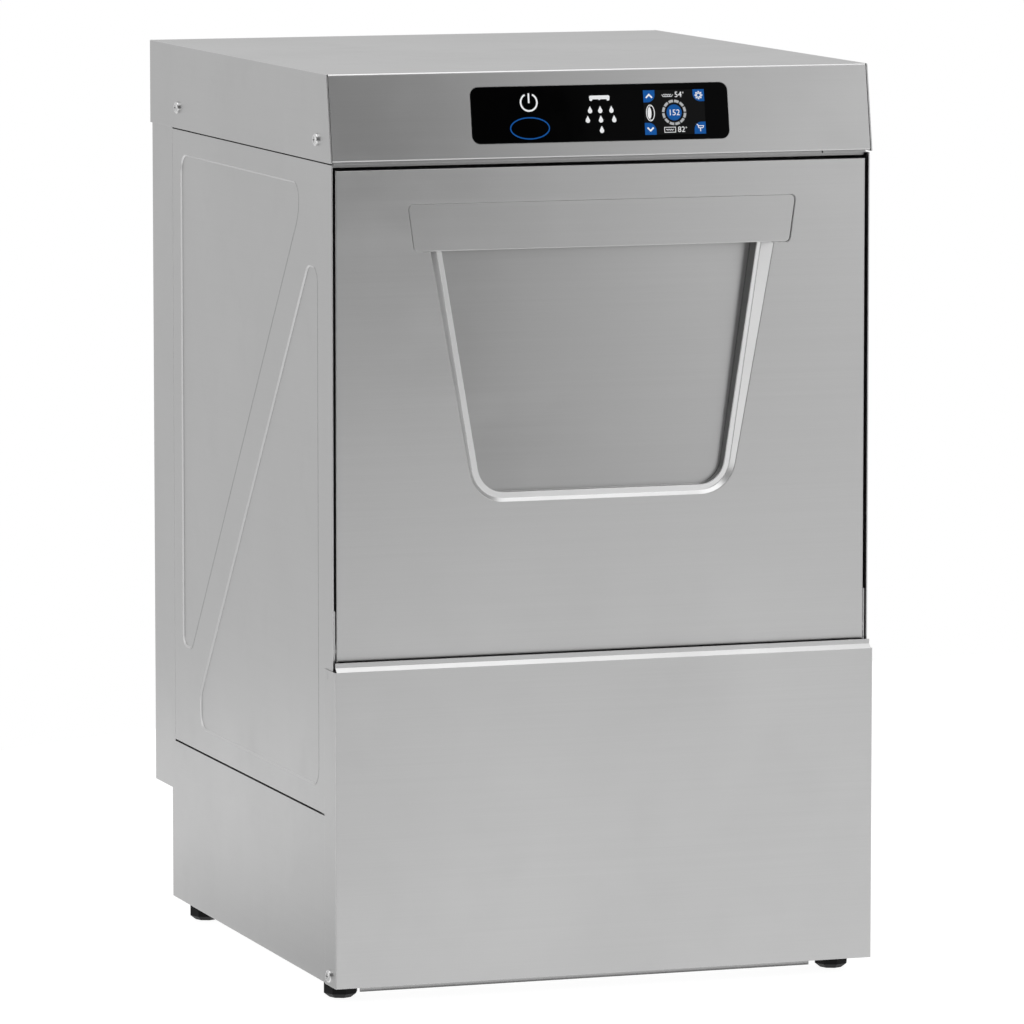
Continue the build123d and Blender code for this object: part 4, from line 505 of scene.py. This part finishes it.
class Print:
    """Flat ink shapes on the glass, drawn in millimetres right and up from its middle."""

    def __init__(self, layer=0):
        self.mesh = bmesh.new()
        self.base = layer * INK_STEP

    def shape(self, points):
        """One outline filled in and given the thickness of the ink."""
        middle, right, up, out = glass_plane()
        turn = sum(a[0] * b[1] - b[0] * a[1] for a, b in zip(points, points[1:] + points[:1]))
        ordered = points if turn > 0 else points[::-1]
        rings = []
        for depth in (self.base, self.base + INK_THICKNESS):
            rings.append([
                self.mesh.verts.new((middle + right * x + up * y + out * depth) * MM) for x, y in ordered
            ])
        back, front = rings
        self.mesh.faces.new(front)
        self.mesh.faces.new(back[::-1])
        for i in range(len(front)):
            j = (i + 1) % len(front)
            self.mesh.faces.new((back[i], back[j], front[j], front[i]))

    def line(self, points, width, closed=False):
        """A ribbon along the points, mitred where they turn."""
        count = len(points)
        left, right = [], []
        for i, (x, y) in enumerate(points):
            before = points[(i - 1) % count] if closed or i else points[i]
            after = points[(i + 1) % count] if closed or i < count - 1 else points[i]
            d1 = Vector((x - before[0], y - before[1]))
            d2 = Vector((after[0] - x, after[1] - y))
            d1 = (d1 if d1.length else d2).normalized()
            d2 = (d2 if d2.length else d1).normalized()
            mean = (d1 + d2).normalized()
            half = width / 2 / max(MITRE, mean.dot(d1))
            left.append((x - mean.y * half, y + mean.x * half))
            right.append((x + mean.y * half, y - mean.x * half))
        for i in range(count if closed else count - 1):
            j = (i + 1) % count
            self.shape([left[i], left[j], right[j], right[i]])

    def ring(self, cx, cy, radius, width, start=0.0, end=360.0, squash=1.0, steps=48):
        """A round or oval line from one angle to another."""
        whole = abs(end - start) >= 360.0
        angles = [math.radians(start + (end - start) * i / steps) for i in range(steps + (not whole))]
        points = [(cx + radius * math.cos(a), cy + radius * squash * math.sin(a)) for a in angles]
        self.line(points, width, whole)

    def disc(self, cx, cy, radius, squash=1.0, steps=40):
        angles = [math.tau * i / steps for i in range(steps)]
        self.shape([(cx + radius * math.cos(a), cy + radius * squash * math.sin(a)) for a in angles])

    def bar(self, x0, x1, y0, y1, radius, steps=6):
        """A rectangle with rounded corners."""
        points = []
        spots = ((x1 - radius, y1 - radius, 0), (x0 + radius, y1 - radius, 90),
                 (x0 + radius, y0 + radius, 180), (x1 - radius, y0 + radius, 270))
        for cx, cy, first in spots:
            for i in range(steps + 1):
                a = math.radians(first + 90.0 * i / steps)
                points.append((cx + radius * math.cos(a), cy + radius * math.sin(a)))
        self.shape(points)

    def figures(self, text, x, y, size):
        """Plain numerals centred on x and standing on y."""
        curve = bpy.data.curves.new("figures", "FONT")
        curve.body = text
        curve.size = size
        curve.align_x = "CENTER"
        curve.resolution_u = FIGURE_STEPS
        thing = bpy.data.objects.new("figures", curve)
        scene.collection.objects.link(thing)
        bpy.context.view_layer.update()
        flat = bpy.data.meshes.new_from_object(thing)
        for polygon in flat.polygons:
            spots = [flat.vertices[v].co for v in polygon.vertices]
            self.shape([(x + spot.x, y + spot.y) for spot in spots])
        bpy.data.objects.remove(thing)
        bpy.data.curves.remove(curve)
        bpy.data.meshes.remove(flat)

    def piece(self, name, material):
        """The drawing so far as a piece of the cabinet."""
        mesh = bpy.data.meshes.new(name)
        self.mesh.to_mesh(mesh)
        self.mesh.free()
        mesh.materials.append(material)
        thing = bpy.data.objects.new(name, mesh)
        scene.collection.objects.link(thing)
        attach(thing, "cabinet")


def drop(print_, x, y, size):
    """A water drop: a round foot and a drawn-out tip."""
    points = []
    for i in range(25):
        a = math.radians(-210.0 + 240.0 * i / 24)
        points.append((x + size * math.cos(a), y + size * math.sin(a)))
    points.append((x + size * 0.22, y + size * 1.75))
    points.append((x, y + size * 2.15))
    points.append((x - size * 0.22, y + size * 1.75))
    print_.shape(points)


def draw_power():
    """The power sign over a plain oval outline."""
    icon = Print()
    icon.ring(-55.3, 8.9, 6.3, 1.3, start=117.0, end=423.0)
    icon.bar(-55.95, -54.65, 8.3, 15.7, 0.5)
    icon.piece("power_symbol", ICON_WHITE)
    outline = Print()
    outline.ring(-55.4, -10.2, 15.0, 0.9, squash=0.52, steps=64)
    outline.piece("oval_outline", ICON_BLUE)


def draw_spray():
    """A spray bar over three rows of drops."""
    icon = Print()
    icon.bar(-8.3, 7.6, 10.1, 12.9, 1.2)
    icon.disc(-7.0, 10.1, 1.2)
    icon.disc(6.3, 10.1, 1.2)
    icon.shape([(-1.9, 10.5), (-0.4, 9.3), (1.1, 10.5)])
    icon.piece("spray_bar_symbol", ICON_WHITE)
    drops = Print()
    rows = ((1.5, (-8.1, -0.2, 8.5)), (-5.5, (-10.2, 0.0, 10.3)), (-13.2, (0.3,)))
    for height, places in rows:
        for x in places:
            drop(drops, x, height, 1.7)
    drops.piece("spray_drops_symbol", ICON_WHITE)


def button_outline(cx, cy, sx, sy, size):
    """A square against the screen's corner whose inner corner is a quarter circle."""
    points = [(cx, cy), (cx + sx * size, cy)]
    for i in range(13):
        a = math.radians(90.0 * i / 12)
        across = 1.0 - BUTTON_ROUND + BUTTON_ROUND * math.cos(a)
        up = 1.0 - BUTTON_ROUND + BUTTON_ROUND * math.sin(a)
        points.append((cx + sx * size * across, cy + sy * size * up))
    points.append((cx, cy + sy * size))
    return points


def draw_screen():
    """The lit screen: its ground, four corner buttons, the dial and the signs on them."""
    x0, x1, y0, y1 = SCREEN
    ground = Print()
    ground.bar(x0, x1, y0, y1, 0.6)
    ground.piece("screen_ground", SCREEN_DARK)
    keys = Print(layer=1)
    for cx, cy, sx, sy in ((x0, y1, 1, -1), (x0, y0, 1, 1), (x1, y1, -1, -1), (x1, y0, -1, 1)):
        keys.shape(button_outline(cx, cy, sx, sy, BUTTON))
    keys.disc(DIAL_X, DIAL_Z, 5.9)
    keys.piece("screen_keys", ICON_BLUE)
    marks = Print(layer=2)
    marks.line([(x0 + 2.0, y1 - 5.6), (x0 + 4.4, y1 - 3.2), (x0 + 6.8, y1 - 5.6)], 1.2)
    marks.line([(x0 + 2.0, y0 + 5.4), (x0 + 4.4, y0 + 3.0), (x0 + 6.8, y0 + 5.4)], 1.2)
    draw_gear(marks, x1 - 4.4, y1 - 4.4)
    draw_tap(marks, x1 - 4.4, y0 + 4.6)
    marks.figures("152", DIAL_X, DIAL_Z - 2.1, 6.2)
    marks.piece("screen_marks", ICON_WHITE)
    grey_marks = Print(layer=2)
    for i in range(12):
        first = 30.0 * i + 3.0
        grey_marks.ring(DIAL_X, DIAL_Z, 8.5, 1.9, start=first, end=first + 24.0, steps=6)
    grey_marks.piece("screen_dial", ICON_GREY)
    draw_readings(x0, y0, y1)


def draw_gear(marks, x, y):
    """A cogwheel: hub, rim and eight teeth."""
    marks.ring(x, y, 1.5, 0.6, steps=24)
    for i in range(8):
        a = math.tau * i / 8
        marks.line([(x + reach * math.cos(a), y + reach * math.sin(a)) for reach in (2.1, 3.1)], 0.8)
    marks.ring(x, y, 2.3, 0.4, steps=32)


def draw_tap(marks, x, y):
    """A tap over its drain, in thin lines."""
    marks.line([(x - 2.7, y + 2.3), (x - 1.9, y + 2.3), (x - 1.1, y - 0.2), (x + 2.2, y - 0.2)], 0.55)
    marks.line([(x - 1.4, y + 1.3), (x + 2.7, y + 1.3), (x + 2.2, y - 0.2)], 0.55)
    marks.line([(x + 0.2, y - 0.2), (x + 0.2, y - 2.8)], 0.7)


def draw_readings(x0, y0, y1):
    """Tank and rinse temperatures with their wavy water signs, and the plate beside the dial."""
    readings = Print(layer=2)
    readings.figures("54", 61.2, y1 - 5.5, 5.9)
    readings.figures("82", 62.4, y0 + 1.6, 5.9)
    readings.ring(65.0, y1 - 2.2, 0.4, 0.25, steps=12)
    readings.ring(66.2, y0 + 4.9, 0.4, 0.25, steps=12)
    for base, level in ((49.6, y1 - 3.6), (50.4, y0 + 3.5)):
        readings.line([(base + 0.55 * i, level + 0.5 * math.sin(i * 1.9)) for i in range(12)], 0.4)
    readings.line([(48.4, y1 - 3.4), (49.4, y1 - 4.9), (56.0, y1 - 4.9), (57.0, y1 - 3.4)], 0.4)
    tank = [(49.2, y0 + 1.6), (57.8, y0 + 1.6), (57.8, y0 + 5.3), (49.2, y0 + 5.3)]
    readings.line(tank, 0.45, closed=True)
    readings.ring(x0 + 4.9, DIAL_Z, 3.1, 0.55, squash=1.9, steps=40)
    readings.ring(x0 + 5.6, DIAL_Z, 2.6, 0.3, squash=2.0, steps=40)
    readings.disc(x0 + 4.2, DIAL_Z, 1.5, squash=2.9)
    readings.piece("screen_readings", ICON_WHITE)


draw_power()
draw_spray()
draw_screen()

# ----------------------------------------------------- fittings at the back

SLOT_OF = {part["node"]: part["material_slot"] for part in frame["record"]["subparts"]}


def ridged(name, node, above, radius, ends, ridges, height):
    """Thread crests or hose barbs around a fitting that points out of the back.

    The fitting's axis lies a given distance above the bottom of its box, and both ends
    of the ridges are given as distances back from its tip.
    """
    low, high = corners(node)
    middle_x, middle_z = (low.x + high.x) / 2, low.z + above
    start, pitch = high.y - ends[0], (ends[0] - ends[1]) / ridges
    outline = [(start, radius - RIDGE_ROOT)]
    for i in range(ridges):
        outline.append((start + i * pitch, radius))
        outline.append((start + (i + CREST_PLACE) * pitch, radius + height))
    outline.append((start + ridges * pitch, radius))
    outline.append((start + ridges * pitch, radius - RIDGE_ROOT))
    shape = bmesh.new()
    rings = []
    turns = [math.tau * i / TURN_STEPS for i in range(TURN_STEPS)]
    for y, reach in outline:
        spots = [(middle_x + reach * math.cos(a), y, middle_z + reach * math.sin(a)) for a in turns]
        rings.append([shape.verts.new(Vector(spot) * MM) for spot in spots])
    for k, ring in enumerate(rings):
        after = rings[(k + 1) % len(rings)]
        for i in range(TURN_STEPS):
            j = (i + 1) % TURN_STEPS
            shape.faces.new((ring[i], after[i], after[j], ring[j]))
    bmesh.ops.recalc_face_normals(shape, faces=shape.faces)
    mesh = bpy.data.meshes.new(name)
    shape.to_mesh(mesh)
    shape.free()
    mesh.materials.append(LOOKS[SLOT_OF[node]])
    thing = bpy.data.objects.new(name, mesh)
    scene.collection.objects.link(thing)
    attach(thing, "cabinet")


for fitting in FITTINGS:
    ridged(*fitting)

# ------------------------------------------------------ camera, light, floor


def make_camera():
    """The photograph's camera."""
    camera = bpy.data.objects.new("camera", bpy.data.cameras.new("camera"))
    camera.data.lens = CAMERA_LENS
    camera.data.sensor_width = CAMERA_SENSOR
    camera.data.clip_end = CAMERA_REACH
    camera.location = CAMERA_PLACE
    camera.rotation_euler = (math.radians(90.0 - CAMERA_ELEVATION), 0.0, math.radians(CAMERA_AZIMUTH))
    scene.collection.objects.link(camera)
    scene.camera = camera


def area_light(name, place, target, width, height, radiance):
    """A soft box facing the target. Its power follows from its size and how bright it looks."""
    data = bpy.data.lights.new(name, "AREA")
    data.shape = "RECTANGLE"
    data.size, data.size_y = width, height
    data.energy = radiance * math.pi * width * height
    lamp = bpy.data.objects.new(name, data)
    lamp.location = place
    lamp.rotation_euler = (Vector(target) - Vector(place)).to_track_quat("-Z", "Y").to_euler()
    lamp.visible_camera = False
    scene.collection.objects.link(lamp)


def make_world():
    """White to the camera, and a studio that is bright behind the machine and dimmer in front."""
    world = bpy.data.worlds.new("studio")
    scene.world = world
    world.use_nodes = True
    tree = world.node_tree
    tree.nodes.clear()
    direction = tree.nodes.new("ShaderNodeTexCoord").outputs["Generated"]
    parts = tree.nodes.new("ShaderNodeSeparateXYZ")
    tree.links.new(direction, parts.inputs[0])
    depth = tree.nodes.new("ShaderNodeMapRange")
    tree.links.new(parts.outputs["Y"], depth.inputs[0])
    for index, value in enumerate((*GLOW_FADE, FRONT_GLOW, BACK_GLOW), start=1):
        depth.inputs[index].default_value = value
    studio = tree.nodes.new("ShaderNodeBackground")
    tree.links.new(depth.outputs[0], studio.inputs["Strength"])
    backdrop = tree.nodes.new("ShaderNodeBackground")
    backdrop.inputs["Strength"].default_value = 1.0
    for node in (studio, backdrop):
        node.inputs["Color"].default_value = grey(1.0)
    path = tree.nodes.new("ShaderNodeLightPath")
    mix = tree.nodes.new("ShaderNodeMixShader")
    tree.links.new(path.outputs["Is Camera Ray"], mix.inputs[0])
    tree.links.new(studio.outputs[0], mix.inputs[1])
    tree.links.new(backdrop.outputs[0], mix.inputs[2])
    out = tree.nodes.new("ShaderNodeOutputWorld")
    tree.links.new(mix.outputs[0], out.inputs["Surface"])


def make_floor():
    """A pale sweep that stays near white and takes only a soft contact shadow."""
    mesh = bpy.data.meshes.new("studio_floor")
    turns = [math.tau * i / FLOOR_SIDES for i in range(FLOOR_SIDES)]
    x, y = FLOOR_MIDDLE
    rim = [(x + FLOOR_REACH * math.cos(a), y + FLOOR_REACH * math.sin(a), 0.0) for a in turns]
    mesh.from_pydata(rim, [], [tuple(range(FLOOR_SIDES))])
    look = Look("studio_floor")
    point, _ = look.place()
    mottle = look.noise(point, 3.0, 2.0, 0.5)
    colour = look.blend(mottle, grey(FLOOR_TONES[0]), grey(FLOOR_TONES[1]))
    mesh.materials.append(look.finish({
        "Base Color": colour, "Roughness": 0.8, "Specular IOR Level": 0.2,
        "Emission Color": grey(1.0), "Emission Strength": FLOOR_GLOW,
    }))
    floor = bpy.data.objects.new("studio_floor", mesh)
    scene.collection.objects.link(floor)


def make_floor_card():
    """A grey card beside the machine, hidden from the camera, that darkens the skirt."""
    x0, x1, y0, y1 = FLOOR_CARD
    rim = [(x, y, CARD_LIFT) for x, y in ((x0, y0), (x1, y0), (x1, y1), (x0, y1))]
    mesh = bpy.data.meshes.new("floor_card")
    mesh.from_pydata(rim, [], [(0, 1, 2, 3)])
    look = Look("floor_card")
    point, _ = look.place()
    tint = look.blend(look.noise(point, 4.0, 1.0, 0.5), grey(CARD_TONES[0]), grey(CARD_TONES[1]))
    glow = look.spread(look.axes(point)["Y"], *CARD_FADE, *CARD_GLOW)
    mesh.materials.append(look.finish({
        "Base Color": tint, "Roughness": 0.8, "Emission Color": grey(1.0), "Emission Strength": glow,
    }))
    card = bpy.data.objects.new("floor_card", mesh)
    card.visible_camera = False
    card.visible_diffuse = False
    card.visible_shadow = False
    scene.collection.objects.link(card)


scene.view_settings.view_transform = "Standard"
make_camera()
make_world()
make_floor()
make_floor_card()
for light in LIGHTS:
    area_light(*light)
